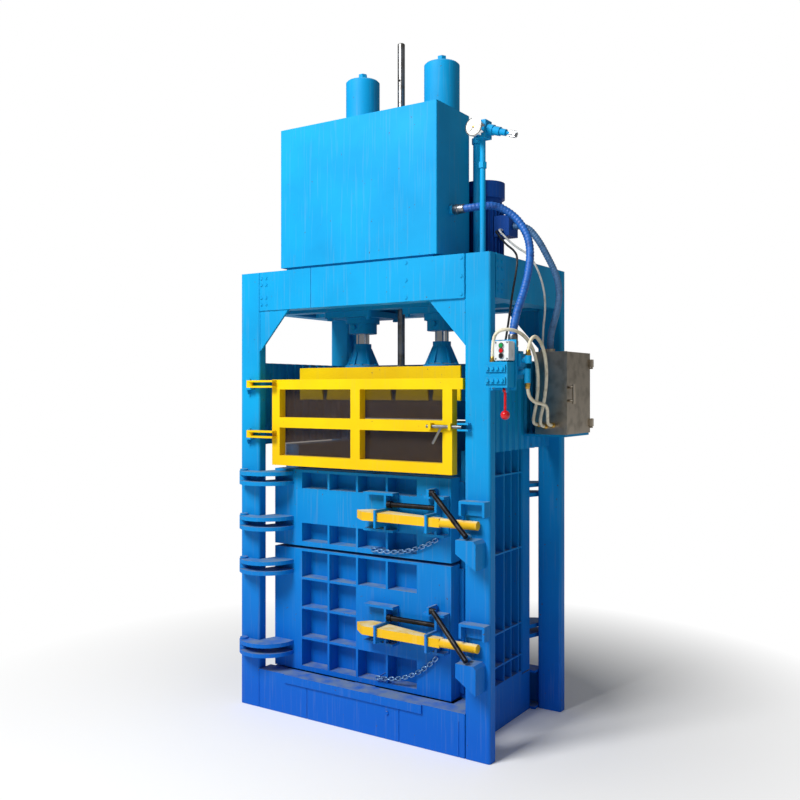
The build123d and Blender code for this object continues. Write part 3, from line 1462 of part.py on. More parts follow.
with BuildPart() as cabinet_door:
    door_back = cabinet_right + cabinet_door_gap
    door_face = door_back + cabinet_wall
    door_edge = cabinet_front - cabinet_door_lip
    slab(door_back, door_face, door_edge, cabinet_rear - 1, cabinet_bottom, cabinet_top)
    slab(door_face, cabinet_right + cabinet_door_fold, door_edge, door_edge + cabinet_wall,
         cabinet_bottom, cabinet_top)
    for low_z in (cabinet_bottom + cabinet_hinge_insets[0], cabinet_top - cabinet_hinge_insets[1]):
        knuckle_bottom = low_z + 1
        knuckle_length = cabinet_pin_length - 2
        rod_along("z", cabinet_pin_x, cabinet_pin_y, knuckle_bottom, cabinet_pin / 2 + cabinet_knuckle,
                  knuckle_length)
        slab(cabinet_right + 3, cabinet_right + 12, cabinet_rear - 20, cabinet_rear + 3, knuckle_bottom,
             knuckle_bottom + knuckle_length)
        rod_along("z", cabinet_pin_x, cabinet_pin_y, knuckle_bottom, cabinet_pin / 2 + guide_play,
                  knuckle_length, mode=Mode.SUBTRACT)
    handle_y = cabinet_front + cabinet_handle_inset
    for post_z in cabinet_handle_posts:
        rod_along("x", door_face, handle_y, post_z, cabinet_handle_post[0], cabinet_handle_post[1])
    rod_along("z", door_face + cabinet_handle_post[1], handle_y, cabinet_handle_bottom,
              cabinet_handle_grip[0], cabinet_handle_grip[1])
keep(cabinet_door, "cabinet_door")


def hose(points, diameter):
    """A hose or conduit of straight runs joined by arcs, each as large as its runs allow."""
    radii = []
    for before, corner, after in zip(points, points[1:], points[2:]):
        arriving = Vector(*corner) - Vector(*before)
        leaving = Vector(*after) - Vector(*corner)
        half_turn = math.radians(arriving.get_angle(leaving)) / 2
        radii.append(0.45 * min(arriving.length, leaving.length) / math.tan(half_turn))
    with BuildLine() as route:
        FilletPolyline(*points, radius=radii)
    start = Vector(*points[1]) - Vector(*points[0])
    with BuildSketch(Plane(origin=points[0], z_dir=start)) as section:
        Circle(diameter / 2)
    sweep(section.sketch, path=route.wire())
    print("radii", [round(radius) for radius in radii], "length", round(route.wire().length))


with BuildPart() as pressure_hose:
    hose(pressure_hose_route, hose_diameter)
keep(pressure_hose, "pressure_hose")

with BuildPart() as wrapped_hose:
    hose(wrapped_hose_route, wrapped_hose_diameter)
keep(wrapped_hose, "wrapped_hose")

with BuildPart() as conduits:
    for route_points in conduit_routes:
        hose(route_points, conduit_diameter)
    hose(thin_cable_route, thin_cable_diameter)
    hose(white_cable_route, thin_cable_diameter)
keep(conduits, "conduits")
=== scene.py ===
# %% [markdown]
# # A vertical recycling baler
# The steel frame, doors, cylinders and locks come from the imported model. This script gives them their
# finishes, and makes the hoses, conduits, chains, gauge, welds and screws that need a finer shape.

# %% Load the frame
import json
import math

import bmesh
import bpy
from mathutils import Matrix, Vector


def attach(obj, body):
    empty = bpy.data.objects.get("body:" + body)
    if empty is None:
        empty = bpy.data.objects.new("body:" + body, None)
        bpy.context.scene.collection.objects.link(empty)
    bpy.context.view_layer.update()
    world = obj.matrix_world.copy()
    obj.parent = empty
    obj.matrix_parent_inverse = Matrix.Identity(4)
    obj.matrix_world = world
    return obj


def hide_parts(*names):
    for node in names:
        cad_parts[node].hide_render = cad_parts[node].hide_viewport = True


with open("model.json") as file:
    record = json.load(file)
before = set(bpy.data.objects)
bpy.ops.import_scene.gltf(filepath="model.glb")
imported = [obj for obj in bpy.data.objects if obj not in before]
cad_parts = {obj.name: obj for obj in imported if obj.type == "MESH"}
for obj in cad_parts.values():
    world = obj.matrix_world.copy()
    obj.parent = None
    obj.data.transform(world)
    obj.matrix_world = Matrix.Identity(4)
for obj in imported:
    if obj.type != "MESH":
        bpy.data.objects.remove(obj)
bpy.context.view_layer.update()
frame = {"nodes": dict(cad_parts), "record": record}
MM = 0.001

# %% [markdown]
# ## The camera
# The photograph is taken at a standing person's eye level, from the front right. The lens and the place
# come from the vanishing points of the level beams. The camera looks level, so that the columns stay
# upright as they do in the photograph, and a small shift puts the horizon in its place.

# %% Camera
FOCAL_PIXELS = 906.0
FRAME_PIXELS = 800.0
HORIZON_PIXELS = -9.4
SENSOR = 36.0
EYE = (2.570, -3.9545, 1.639)
LEVEL, HEADING = 90, 33.1
lens = bpy.data.cameras.new("photo_view")
lens.sensor_width = SENSOR
lens.lens = FOCAL_PIXELS / FRAME_PIXELS * SENSOR
lens.shift_y = HORIZON_PIXELS / FRAME_PIXELS
lens.clip_end = 60
camera = bpy.data.objects.new("photo_view", lens)
camera.location = EYE
camera.rotation_euler = (math.radians(LEVEL), 0, math.radians(HEADING))
bpy.context.scene.collection.objects.link(camera)
bpy.context.scene.camera = camera
bpy.context.scene.view_settings.view_transform = "Standard"

# %% [markdown]
# ## Colour and nodes
# Colours are written as they look on a screen, and one function turns them into the linear values that
# the shader works with. Another adds any node with its settings and its links. The small ones after it
# are the steps that every finish is built from: a pattern, a threshold, a mix, a gloss and a relief.


# %% Helpers for materials
def colour(code):
    """An sRGB hex code as linear red, green, blue and alpha."""
    parts = [int(code[i : i + 2], 16) / 255 for i in (1, 3, 5)]
    return tuple(p / 12.92 if p <= 0.04045 else ((p + 0.055) / 1.055) ** 2.4 for p in parts) + (1.0,)


def add(tree, kind, settings=None, links=None):
    """Add a node; settings are its own fields or its sockets, links join its sockets to outputs."""
    node = tree.nodes.new(kind)
    for name, value in (settings or {}).items():
        if isinstance(name, str) and hasattr(node, name):
            setattr(node, name, value)
        else:
            node.inputs[name].default_value = value
    for name, output in (links or {}).items():
        tree.links.new(output, node.inputs[name])
    return node


def start(name, settings):
    """A new material with its shader and the object's own coordinates."""
    made = bpy.data.materials.new(name)
    made.use_nodes = True
    tree = made.node_tree
    shader = tree.nodes["Principled BSDF"]
    for socket, value in settings.items():
        shader.inputs[socket].default_value = value
    return made, tree, shader, add(tree, "ShaderNodeTexCoord").outputs["Object"]


def ramp(tree, low, high, source):
    """Nought below low and one above high."""
    node = add(tree, "ShaderNodeMapRange", {"From Min": low, "From Max": high}, {"Value": source})
    return node.outputs["Result"]


def feed(tree, socket, value):
    """Give a socket a number or a hex code, or link another node's output to it."""
    if isinstance(value, bpy.types.NodeSocket):
        tree.links.new(value, socket)
    else:
        socket.default_value = colour(value) if isinstance(value, str) else value


def mix(tree, amount, first, second):
    """Mix two colours, each a hex code or another node's output."""
    node = add(tree, "ShaderNodeMix", {"data_type": "RGBA"})
    # The two colours come after the sockets for numbers and vectors
    for number, value in ((0, amount), (6, first), (7, second)):
        feed(tree, node.inputs[number], value)
    return node.outputs[2]


def maths(tree, operation, first, second):
    """One sum on two values, each a number or another node's output."""
    node = add(tree, "ShaderNodeMath", {"operation": operation})
    feed(tree, node.inputs[0], first)
    feed(tree, node.inputs[1], second)
    return node.outputs[0]


def noise(tree, place, size, detail):
    """A noise with features of about that size, in metres."""
    node = add(tree, "ShaderNodeTexNoise", {"Scale": 1 / size, "Detail": detail}, {"Vector": place})
    return node.outputs["Fac"]


def stretched(tree, place, sizes):
    """A place in which a noise of size one is as large as these sizes along X, Y and Z."""
    scale = tuple(1 / size for size in sizes)
    return add(tree, "ShaderNodeMapping", {"Scale": scale}, {"Vector": place}).outputs["Vector"]


def roughen(tree, shader, low, high, pattern):
    """Let the roughness follow a pattern between two values."""
    node = add(tree, "ShaderNodeMapRange", {"To Min": low, "To Max": high}, {"Value": pattern})
    tree.links.new(node.outputs["Result"], shader.inputs["Roughness"])


def emboss(tree, shader, strength, depth, pattern):
    """Raise a pattern from the surface by that depth, in metres."""
    node = add(tree, "ShaderNodeBump", {"Strength": strength, "Distance": depth}, {"Height": pattern})
    tree.links.new(node.outputs["Normal"], shader.inputs["Normal"])


# %% [markdown]
# ## Enamel on welded steel
# The frame is sprayed with a satin enamel. Such paint shows three things: a slow change of shade from
# coat to coat, the small waves called orange peel, and grey workshop dust on every ledge that faces up.
# On the lock levers that dust colour is a pale cream, which is a painted highlight on their tops.
# Rain and oil leave faint upright streaks, and handled places are chipped. A painted shade deepens
# each paint toward the floor, so it is lighter toward the top, where more of the light falls.


# %% Enamel
COAT_SIZE = 0.35
# Heights in metres over which the painted shade near the floor gives way to the plain paint
PAINTED_SHADE_FROM, PAINTED_SHADE_TO = 0.1, 1.6
STREAK_WIDTH, STREAK_LENGTH, STREAK_SHARE = 0.012, 0.30, 0.15
CHIP_SPACING, PRIMER = 0.014, "#4a4640"
DUST_AND_HIGHLIGHT_PATCH = 0.06
# Orange peel is about 2 mm; it is drawn at 5 mm so that it shows
PEEL_SIZE, PEEL_DEPTH = 0.005, 0.0006


def enamel(name, paint, shade, painted_floor_shade, dust_and_highlight, dust_and_highlight_share, roughness):
    """Paint in two shades of its coats, with a painted shade near the floor, streaks, chips and dust.

    On the levers the dust colour is a pale cream, a painted highlight on their tops.
    """
    made, tree, shader, place = start(name, {"IOR": 1.45, "Roughness": roughness, "Specular IOR Level": 0.22})
    coats = noise(tree, place, COAT_SIZE, 4.0)
    body = mix(tree, ramp(tree, 0.40, 0.68, coats), paint, shade)
    height = add(tree, "ShaderNodeSeparateXYZ", links={0: place}).outputs["Z"]
    # Painted shade: the paint turns to its deeper colour toward the floor
    body = mix(tree, ramp(tree, PAINTED_SHADE_FROM, PAINTED_SHADE_TO, height), painted_floor_shade, body)
    upright = stretched(tree, place, (STREAK_WIDTH, STREAK_WIDTH, STREAK_LENGTH))
    streaks = ramp(tree, 0.56, 0.80, noise(tree, upright, 1.0, 2.0))
    body = mix(tree, maths(tree, "MULTIPLY", streaks, STREAK_SHARE), body, dust_and_highlight)
    # Only the highest crests of this noise become chips, so they are few and a few millimetres wide
    chips = ramp(tree, 0.725, 0.745, noise(tree, place, CHIP_SPACING, 3.0))
    body = mix(tree, chips, body, PRIMER)
    # Dust lies in patches where the surface faces up; on the levers these are a painted highlight
    normal = add(tree, "ShaderNodeNewGeometry").outputs["Normal"]
    facing = ramp(tree, 0.55, 0.95, add(tree, "ShaderNodeSeparateXYZ", links={0: normal}).outputs["Z"])
    patches = ramp(tree, 0.25, 0.62, noise(tree, place, DUST_AND_HIGHLIGHT_PATCH, 5.0))
    dust_and_highlight_mask = maths(tree, "MULTIPLY", maths(tree, "MULTIPLY", facing, patches), dust_and_highlight_share)
    tree.links.new(mix(tree, dust_and_highlight_mask, body, dust_and_highlight), shader.inputs["Base Color"])
    roughen(tree, shader, roughness - 0.06, roughness + 0.3, coats)
    emboss(tree, shader, 0.14, PEEL_DEPTH, noise(tree, place, PEEL_SIZE, 2.0))
    return made


# Each has its paint, the paint's other shade, its painted shade near the floor, its dust, how much of
# the dust shows, and its roughness; the levers' pale cream dust is a painted highlight on their tops
blue_enamel = enamel("blue_enamel", "#009cd6", "#0090ca", "#005cc4", "#8f9a94", 0.62, 0.46)
yellow_enamel = enamel("yellow_enamel", "#f0cc00", "#e6bc00", "#e6b400", "#b9a468", 0.35, 0.42)
# The lever's pale cream dust colour, laid thickly on its tops, is a painted highlight
lever_enamel = enamel("lever_enamel", "#f2c41c", "#e0ac12", "#ecb818", "#f2e8c0", 0.85, 0.44)
motor_enamel = enamel("motor_enamel", "#0a4ca4", "#083a88", "#083a88", "#77808a", 0.60, 0.45)

# %% [markdown]
# ## Bare and plated metal
# Piston rods are ground and hard chromed, so they reflect sharply, with very fine rings from grinding.
# Stainless sheet keeps the long lines of its brushing. Black bar is rolled steel wiped with oil: dark,
# with a broken gloss. Brass fittings are turned, and dull with handling.


# %% Metals
SMUDGE_SIZE, LINE_DEPTH = 0.05, 0.0002


def metal(name, base, worn, roughness, grain, spread=0.12):
    """grain is the size of the finish's lines along X, Y and Z, in metres."""
    made, tree, shader, place = start(name, {"Metallic": 1.0})
    brushed = noise(tree, stretched(tree, place, grain), 1.0, 3.0)
    smudges = ramp(tree, 0.45, 0.70, noise(tree, place, SMUDGE_SIZE, 4.0))
    tree.links.new(mix(tree, smudges, base, worn), shader.inputs["Base Color"])
    roughen(tree, shader, roughness, roughness + spread, brushed)
    emboss(tree, shader, 0.12, LINE_DEPTH, brushed)
    return made


# Each has its clean colour, its worn colour, its roughness and its grain
ground_chrome = metal("ground_chrome", "#d9dcdf", "#c3c8cc", 0.08, (0.05, 0.05, 0.0015), spread=0.08)
drawn_bar = metal("drawn_bar", "#8f9296", "#6f6a62", 0.32, (0.02, 0.003, 0.003))
brushed_stainless = metal("brushed_stainless", "#b8ad9c", "#9a9080", 0.30, (0.002, 0.002, 0.10))
oiled_bar = metal("oiled_bar", "#2a2a2e", "#4a4744", 0.34, (0.012, 0.004, 0.004), spread=0.22)
turned_brass = metal("turned_brass", "#c9a24c", "#9a7a3a", 0.26, (0.003, 0.003, 0.003))
chain_steel = metal("zinc_plated_chain", "#8fb6dc", "#5d86b4", 0.34, (0.004, 0.004, 0.004))

# %% [markdown]
# ## Plastics, rubber and glass
# Moulded parts have a fine spark-eroded grain and are soiled in patches. The gate's sheet is smoked
# polycarbonate: a thin sheet that lets a little light through and is scratched by the waste.


# %% Plastics and rubber
SOIL_PATCH, GRAIN_DEPTH = 0.03, 0.0003


def moulded(name, base, soiled, roughness, grain=0.0015, alpha=1.0):
    """A moulded finish; grain is the size of its texture, in metres."""
    made, tree, shader, place = start(name, {"IOR": 1.49, "Roughness": roughness, "Alpha": alpha})
    soil = ramp(tree, 0.48, 0.75, noise(tree, place, SOIL_PATCH, 5.0))
    tree.links.new(mix(tree, soil, base, soiled), shader.inputs["Base Color"])
    emboss(tree, shader, 0.10, GRAIN_DEPTH, noise(tree, place, grain, 1.0))
    return made


# Each has its clean colour, its soiled colour and its roughness
smoked_sheet = moulded("smoked_polycarbonate", "#3c2f24", "#473a2d", 0.30, grain=0.004, alpha=0.58)
hose_rubber = moulded("blue_spiral_hose", "#1a63b8", "#0c3f86", 0.48)
grey_wrap = moulded("grey_blue_spiral_wrap", "#4d7aa8", "#31587f", 0.50)
cream_conduit = moulded("cream_conduit", "#e4dcc2", "#b9ad8e", 0.45)
black_cable = moulded("black_cable_sheath", "#1c1e22", "#34363a", 0.50)
white_cable = moulded("white_cable_sheath", "#dcdcd6", "#aeb0ac", 0.45)
grey_abs = moulded("light_grey_abs", "#dfe3e3", "#b9bfc0", 0.38)
green_cap = moulded("green_button_cap", "#0c9a48", "#087a38", 0.25)
red_cap = moulded("red_button_cap", "#d8141a", "#a90e14", 0.22)
black_cap = moulded("black_button_cap", "#151517", "#2a2a2c", 0.25)
dial_white = moulded("white_dial_print", "#f4f2ea", "#e3dfd2", 0.40)
dial_black = moulded("black_dial_print", "#1a1a1a", "#2a2a2a", 0.40)

finishes = {
    "blue_paint": blue_enamel,
    "yellow_paint": yellow_enamel,
    "chrome": ground_chrome,
    "bright_steel": drawn_bar,
    "stainless": brushed_stainless,
    "dark_steel": oiled_bar,
    "smoked_sheet": smoked_sheet,
    "motor_paint": motor_enamel,
    "hose_rubber": hose_rubber,
    "wrap": grey_wrap,
    "cream_conduit": cream_conduit,
    "box_plastic": grey_abs,
    "green_plastic": green_cap,
    "red_plastic": red_cap,
    "black_plastic": black_cap,
    "gauge_case": ground_chrome,
}
for part in frame["record"]["subparts"]:
    node = frame["nodes"][part["node"]]
    finish = finishes[part["material_slot"]]
    if part["node"].endswith("lock_lever"):
        finish = lever_enamel
    node.data.materials.clear()
    node.data.materials.append(finish)

# %% [markdown]
# ## Making meshes
# Turned pieces and hoses are both a row of rings with a skin between them. A turned piece is given as
# a list of distances and radii along its axis, and its ends are closed.

# %% Making meshes
FRONT, RIGHT, UP, DOWN = (0, -1, 0), (1, 0, 0), (0, 0, 1), (0, 0, -1)
TURNED_EDGE = math.radians(32)


def shown(name, mesh, finish, body, smooth=True):
    """Put a finished mesh in the scene, on a body."""
    made = bpy.data.objects.new(name, mesh)
    bpy.context.scene.collection.objects.link(made)
    made.data.materials.clear()
    made.data.materials.append(finish)
    for face in mesh.polygons:
        face.use_smooth = smooth
    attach(made, body)
    return made


def ring(maker, centre, across, up, radii):
    """A ring of corners round a centre, one for each radius."""
    corners = []
    for number, radius in enumerate(radii):
        angle = 2 * math.pi * number / len(radii)
        corners.append(maker.verts.new(centre + radius * (math.cos(angle) * across + math.sin(angle) * up)))
    return corners


def skin(maker, rings):
    """Faces from each ring to the next."""
    for first, second in zip(rings, rings[1:]):
        for n in range(len(first)):
            after = (n + 1) % len(first)
            maker.faces.new((first[n], first[after], second[after], second[n]))


def closed_skin(maker, rings):
    """Faces from each ring to the next, and over both ends."""
    skin(maker, rings)
    maker.faces.new(list(reversed(rings[0])))
    maker.faces.new(rings[-1])


def as_mesh(maker, name):
    """The mesh that was made, with its faces turned outward."""
    bmesh.ops.recalc_face_normals(maker, faces=maker.faces)
    mesh = bpy.data.meshes.new(name)
    maker.to_mesh(mesh)
    maker.free()
    return mesh


def turned_set(name, pieces, finish, sides=24):
    """Turned pieces in one mesh: each has a starting point in metres, a direction and a profile."""
    maker = bmesh.new()
    for at, way, profile in pieces:
        way = Vector(way).normalized()
        across = way.orthogonal().normalized()
        up = way.cross(across)
        closed_skin(maker, [ring(maker, Vector(at) + way * distance, across, up, [radius] * sides)
                            for distance, radius in profile])
    mesh = as_mesh(maker, name)
    made = shown(name, mesh, finish, "frame")
    mesh.set_sharp_from_angle(angle=TURNED_EDGE)
    return made


# %% [markdown]
# ## Hoses and conduits
# Each hose is a fixed length that leaves one fitting straight and enters the next one straight. Its
# middle line is a smooth NURBS curve over the same few points as in the model. The pressure hose and
# the wrapped hose carry a spiral guard, and the cream conduits are ringed, so their radius rises and
# falls along the line. A tube made in code can carry those ridges as real shape.

# %% Routes, in millimetres
pressure_hose_route = (
    (480, -287.5, 2480), (565, -287.5, 2480), (660, -226, 2496), (745, -190, 2440), (808, -190, 2350),
    (832, -208, 2262), (834, -236, 2172), (827, -270, 2080), (818, -318, 1994), (815, -355, 1908),
    (815, -355, 1830),
)
wrapped_hose_route = (
    (615, 60, 2442), (682, 60, 2442), (742, 72, 2368), (782, 88, 2286), (815, 112, 2205),
    (832, 122, 2118), (826, 110, 2030), (808, 97, 1955), (795, 92, 1892), (795, 92, 1839),
)
valve_conduit_route = (
    (758, -440, 1762), (758, -440, 1832), (771, -440, 1893), (822, -420, 1908), (858, -352, 1890),
    (868, -272, 1838), (858, -196, 1760), (836, -134, 1668), (806, -92, 1574), (782, -74, 1512),
    (770, -40, 1478), (770, 20, 1478),
)
upper_conduit_route = (
    (892, -362, 1791), (892, -362, 1845), (898, -306, 1886), (903, -232, 1838), (892, -170, 1756),
    (868, -118, 1664), (838, -82, 1572), (812, -66, 1500), (806, -36, 1470), (806, 16, 1470),
)
lower_conduit_route = (
    (888, -362, 1672), (888, -362, 1620), (896, -304, 1586), (902, -224, 1580), (888, -150, 1560),
    (862, -92, 1514), (842, -44, 1476), (842, 20, 1476),
)
thin_cable_route = (
    (560, 10, 2415), (560, -34, 2415), (610, -80, 2372), (668, -120, 2322), (722, -158, 2290),
    (762, -196, 2250), (766, -224, 2170), (759, -244, 2086), (757, -268, 1990), (764, -312, 1896),
    (772, -352, 1835), (772, -402, 1835),
)
white_cable_route = (
    (580, 10, 2420), (580, -44, 2420), (628, -60, 2372), (692, -66, 2316), (752, -46, 2278),
    (782, -8, 2200), (790, 36, 2112), (782, 64, 2020), (764, 74, 1925), (764, 74, 1837),
)


# %% Following a route
def smooth_line(route):
    """Points of the NURBS curve over a route, in metres."""
    curve = bpy.data.curves.new("route", "CURVE")
    curve.dimensions = "3D"
    curve.resolution_u = 16
    spline = curve.splines.new("NURBS")
    spline.points.add(len(route) - 1)
    for point, place in zip(spline.points, route):
        point.co = (place[0] * MM, place[1] * MM, place[2] * MM, 1)
    spline.order_u = 3
    spline.use_endpoint_u = True
    carrier = bpy.data.objects.new("route", curve)
    mesh = bpy.data.meshes.new_from_object(carrier)
    line = [vertex.co.copy() for vertex in mesh.vertices]
    bpy.data.objects.remove(carrier)
    bpy.data.curves.remove(curve)
    bpy.data.meshes.remove(mesh)
    return line


def even_steps(line, step):
    """The same line with points an even step apart, and the distance along it of each."""
    lengths = [0.0]
    for before, after in zip(line, line[1:]):
        lengths.append(lengths[-1] + (after - before).length)
    count = max(2, round(lengths[-1] / step))
    points, reach, index = [], [], 0
    for number in range(count + 1):
        distance = lengths[-1] * number / count
        while index < len(line) - 2 and lengths[index + 1] < distance:
            index += 1
        span = lengths[index + 1] - lengths[index]
        share = (distance - lengths[index]) / span if span else 0.0
        points.append(line[index].lerp(line[index + 1], min(share, 1.0)))
        reach.append(distance)
    return points, reach


HOSE_SIDES = 16
STEPS_PER_RIDGE = 4


def tube(name, route, finish, node, radius, pitch=0.0, ridge=0.0, helix=False):
    """A hose along a route, with rings or a helix of ridges of that pitch and depth."""
    line = smooth_line(route)
    points, reach = even_steps(line, pitch / STEPS_PER_RIDGE if pitch else radius)
    maker = bmesh.new()
    rings = []
    across = (points[1] - points[0]).orthogonal().normalized()
    for number, point in enumerate(points):
        ahead = points[min(number + 1, len(points) - 1)] - points[max(number - 1, 0)]
        ahead.normalize()
        across = (across - ahead * across.dot(ahead)).normalized()
        turn = 2 * math.pi * reach[number] / pitch if pitch else 0.0
        radii = []
        for side in range(HOSE_SIDES):
            lag = 2 * math.pi * side / HOSE_SIDES if helix else 0.0
            wave = 0.5 + 0.5 * math.cos(turn - lag)
            radii.append(radius - ridge * (1 - wave))
        rings.append(ring(maker, point, across, ahead.cross(across), radii))
    closed_skin(maker, rings)
    made = shown(name, as_mesh(maker, name), finish, "frame")
    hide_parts(node)
    print(name, "line", round(sum((b - a).length for a, b in zip(line, line[1:])), 3), "m")


# %% The hoses, conduits and cables
tube("pressure_hose_spiral", pressure_hose_route, hose_rubber, "pressure_hose",
     radius=0.019, pitch=0.016, ridge=0.0022, helix=True)
tube("wrapped_hose_spiral", wrapped_hose_route, grey_wrap, "wrapped_hose",
     radius=0.017, pitch=0.013, ridge=0.0018, helix=True)
# A conduit's name, its route, its length and the way that it leaves its first gland
conduits = (
    ("valve_conduit", valve_conduit_route, 0.857, UP),
    ("upper_conduit", upper_conduit_route, 0.684, UP),
    ("lower_conduit", lower_conduit_route, 0.475, DOWN),
)
for name, route, length, _ in conduits:
    tube(name, route, cream_conduit, "conduits", radius=0.008, pitch=0.005,
         ridge=0.0009)
tube("thin_cable", thin_cable_route, black_cable, "conduits", radius=0.005)
tube("white_cable", white_cable_route, white_cable, "conduits", radius=0.005)

# %% [markdown]
# ## Chains with Geometry Nodes
# A chain is one link, repeated and turned by a quarter each time. The script works out a point and a
# turn for every link, and the node tree puts a bent round wire there. Real instances would be lost in
# the export, so the tree makes them real and the result becomes a plain mesh.


# %% Node trees
def start_tree(name, sizes):
    """A Geometry Nodes tree with named size inputs."""
    tree = bpy.data.node_groups.new(name, "GeometryNodeTree")
    tree.interface.new_socket("Geometry", in_out="INPUT", socket_type="NodeSocketGeometry")
    for size_name in sizes:
        tree.interface.new_socket(size_name, in_out="INPUT", socket_type="NodeSocketFloat")
    tree.interface.new_socket("Finish", in_out="INPUT", socket_type="NodeSocketMaterial")
    tree.interface.new_socket("Geometry", in_out="OUTPUT", socket_type="NodeSocketGeometry")
    return tree, add(tree, "NodeGroupInput").outputs


def end_tree(tree, geometry, inputs):
    """Make the instances real and give them their finish."""
    real = add(tree, "GeometryNodeRealizeInstances", links={"Geometry": geometry})
    painted = add(tree, "GeometryNodeSetMaterial",
                  links={"Geometry": real.outputs[0], "Material": inputs["Finish"]})
    add(tree, "NodeGroupOutput", links={"Geometry": painted.outputs[0]})


def grow(name, tree, places, sizes, finish, body, turns=(), edges=(), smooth=True, sharp=None):
    """Run a tree on places in millimetres, and keep the result as a plain mesh.

    Each place may carry a turn. The faces are smooth or flat, and edges above the sharp angle stay hard.
    """
    mesh = bpy.data.meshes.new(name + "_points")
    mesh.from_pydata([Vector(place) * MM for place in places], edges, [])
    if turns:
        carried = mesh.attributes.new("turn", "FLOAT_VECTOR", "POINT")
        for number, turn in enumerate(turns):
            carried.data[number].vector = turn
    carrier = bpy.data.objects.new(name + "_points", mesh)
    bpy.context.scene.collection.objects.link(carrier)
    modifier = carrier.modifiers.new("grow", "NODES")
    modifier.node_group = tree
    for item in tree.interface.items_tree:
        if item.in_out == "INPUT" and item.name in sizes:
            modifier[item.identifier] = float(sizes[item.name])
        if item.in_out == "INPUT" and item.name == "Finish":
            modifier[item.identifier] = finish
    evaluated = carrier.evaluated_get(bpy.context.evaluated_depsgraph_get())
    result = bpy.data.meshes.new_from_object(evaluated)
    result.name = name
    bpy.data.objects.remove(carrier)
    bpy.data.meshes.remove(mesh)
    print(name, "faces", len(result.polygons))
    made = shown(name, result, finish, body, smooth)
    if sharp:
        result.set_sharp_from_angle(angle=sharp)
    return made


# %% The tree of a chain link
link_tree, sizes_in = start_tree("chain_link", ("Link length", "Link width", "Wire"))
oval = add(link_tree, "GeometryNodeCurvePrimitiveQuadrilateral",
           links={"Width": sizes_in["Link length"], "Height": sizes_in["Link width"]})
# Just under half of the width rounds the ends fully
bend = maths(link_tree, "MULTIPLY", sizes_in["Link width"], 0.498)
round_ends = add(link_tree, "GeometryNodeFilletCurve", {"mode": "POLY", "Count": 7},
                 {"Curve": oval.outputs[0], "Radius": bend})
wire = add(link_tree, "GeometryNodeCurvePrimitiveCircle", {"Resolution": 10}, {"Radius": sizes_in["Wire"]})
link = add(link_tree, "GeometryNodeCurveToMesh",
           links={"Curve": round_ends.outputs[0], "Profile Curve": wire.outputs[0]})
turn_in = add(link_tree, "GeometryNodeInputNamedAttribute", {"data_type": "FLOAT_VECTOR", "Name": "turn"})
rotation = add(link_tree, "FunctionNodeEulerToRotation", links={0: turn_in.outputs[0]})
linked = add(link_tree, "GeometryNodeInstanceOnPoints",
             links={"Points": sizes_in["Geometry"], "Instance": link.outputs[0],
                    "Rotation": rotation.outputs[0]})
end_tree(link_tree, linked.outputs[0], sizes_in)

# %% The two door chains, in millimetres
COLUMN_FRONT = -417.5
DOOR_DEPTH, CHAIN_STAND_OFF = 90.0, 13.0
CHAIN_Y = COLUMN_FRONT + DOOR_DEPTH - CHAIN_STAND_OFF
LINK_STEP = 20.2
CHAIN_SAMPLES = 6000
LINK_SIZES = {"Link length": 0.028, "Link width": 0.016, "Wire": 0.003}
# Where each chain starts, the point that its sag is drawn toward, and where it ends, as X and Z
chain_paths = {
    "upper": ((410.0, 943.0), (250.0, 850.0), (60.0, 866.0)),
    "lower": ((410.0, 392.0), (270.0, 245.0), (66.0, 250.0)),
}
for door, (first, low, last) in chain_paths.items():
    places = [first]
    for number in range(CHAIN_SAMPLES + 1):
        t = number / CHAIN_SAMPLES
        x, z = ((1 - t) ** 2 * first[i] + 2 * t * (1 - t) * low[i] + t**2 * last[i] for i in (0, 1))
        if math.hypot(x - places[-1][0], z - places[-1][1]) >= LINK_STEP:
            places.append((x, z))
    # An odd number of links lets the last one lie as the first does
    places = places[: len(places) - 1 + len(places) % 2]
    turns = []
    for number, (x, z) in enumerate(places):
        before, after = places[max(number - 1, 0)], places[min(number + 1, len(places) - 1)]
        along = Vector((after[0] - before[0], 0, after[1] - before[1])).normalized()
        normal = Vector((0, 1, 0)) if number % 2 == 0 else along.cross(Vector((0, 1, 0)))
        axes = Matrix((along, normal.cross(along), normal)).transposed()
        turns.append(tuple(axes.to_euler()))
    chain = grow(door + "_chain_links", link_tree, [(x, CHAIN_Y, z) for x, z in places], LINK_SIZES,
                 chain_steel, door + "_door", turns, sharp=math.radians(40))
    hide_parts(door + "_chain")

# %% [markdown]
# ## Screws, bolts and welds
# Hexagon heads sit on washers where plates are bolted on. Each head is put on a point with the
# direction that it faces. Weld beads run where the beams meet the columns: a bead is a row of small
# ripples, so its line is shaken a little before it is given its thickness.

# %% The tree of a bolt head
WASHER_WIDTH, WASHER_HEIGHT = 1.35, 0.35
bolt_tree, sizes_in = start_tree("bolt_head", ("Head radius", "Head height"))
head = add(bolt_tree, "GeometryNodeMeshCylinder", {"Vertices": 6},
           {"Radius": sizes_in["Head radius"], "Depth": sizes_in["Head height"]})
wide = maths(bolt_tree, "MULTIPLY", sizes_in["Head radius"], WASHER_WIDTH)
thin = maths(bolt_tree, "MULTIPLY", sizes_in["Head height"], WASHER_HEIGHT)
washer = add(bolt_tree, "GeometryNodeMeshCylinder", {"Vertices": 20}, {"Radius": wide, "Depth": thin})
both = add(bolt_tree, "GeometryNodeJoinGeometry")
bolt_tree.links.new(head.outputs["Mesh"], both.inputs[0])
bolt_tree.links.new(washer.outputs["Mesh"], both.inputs[0])
way_in = add(bolt_tree, "GeometryNodeInputNamedAttribute", {"data_type": "FLOAT_VECTOR", "Name": "turn"})
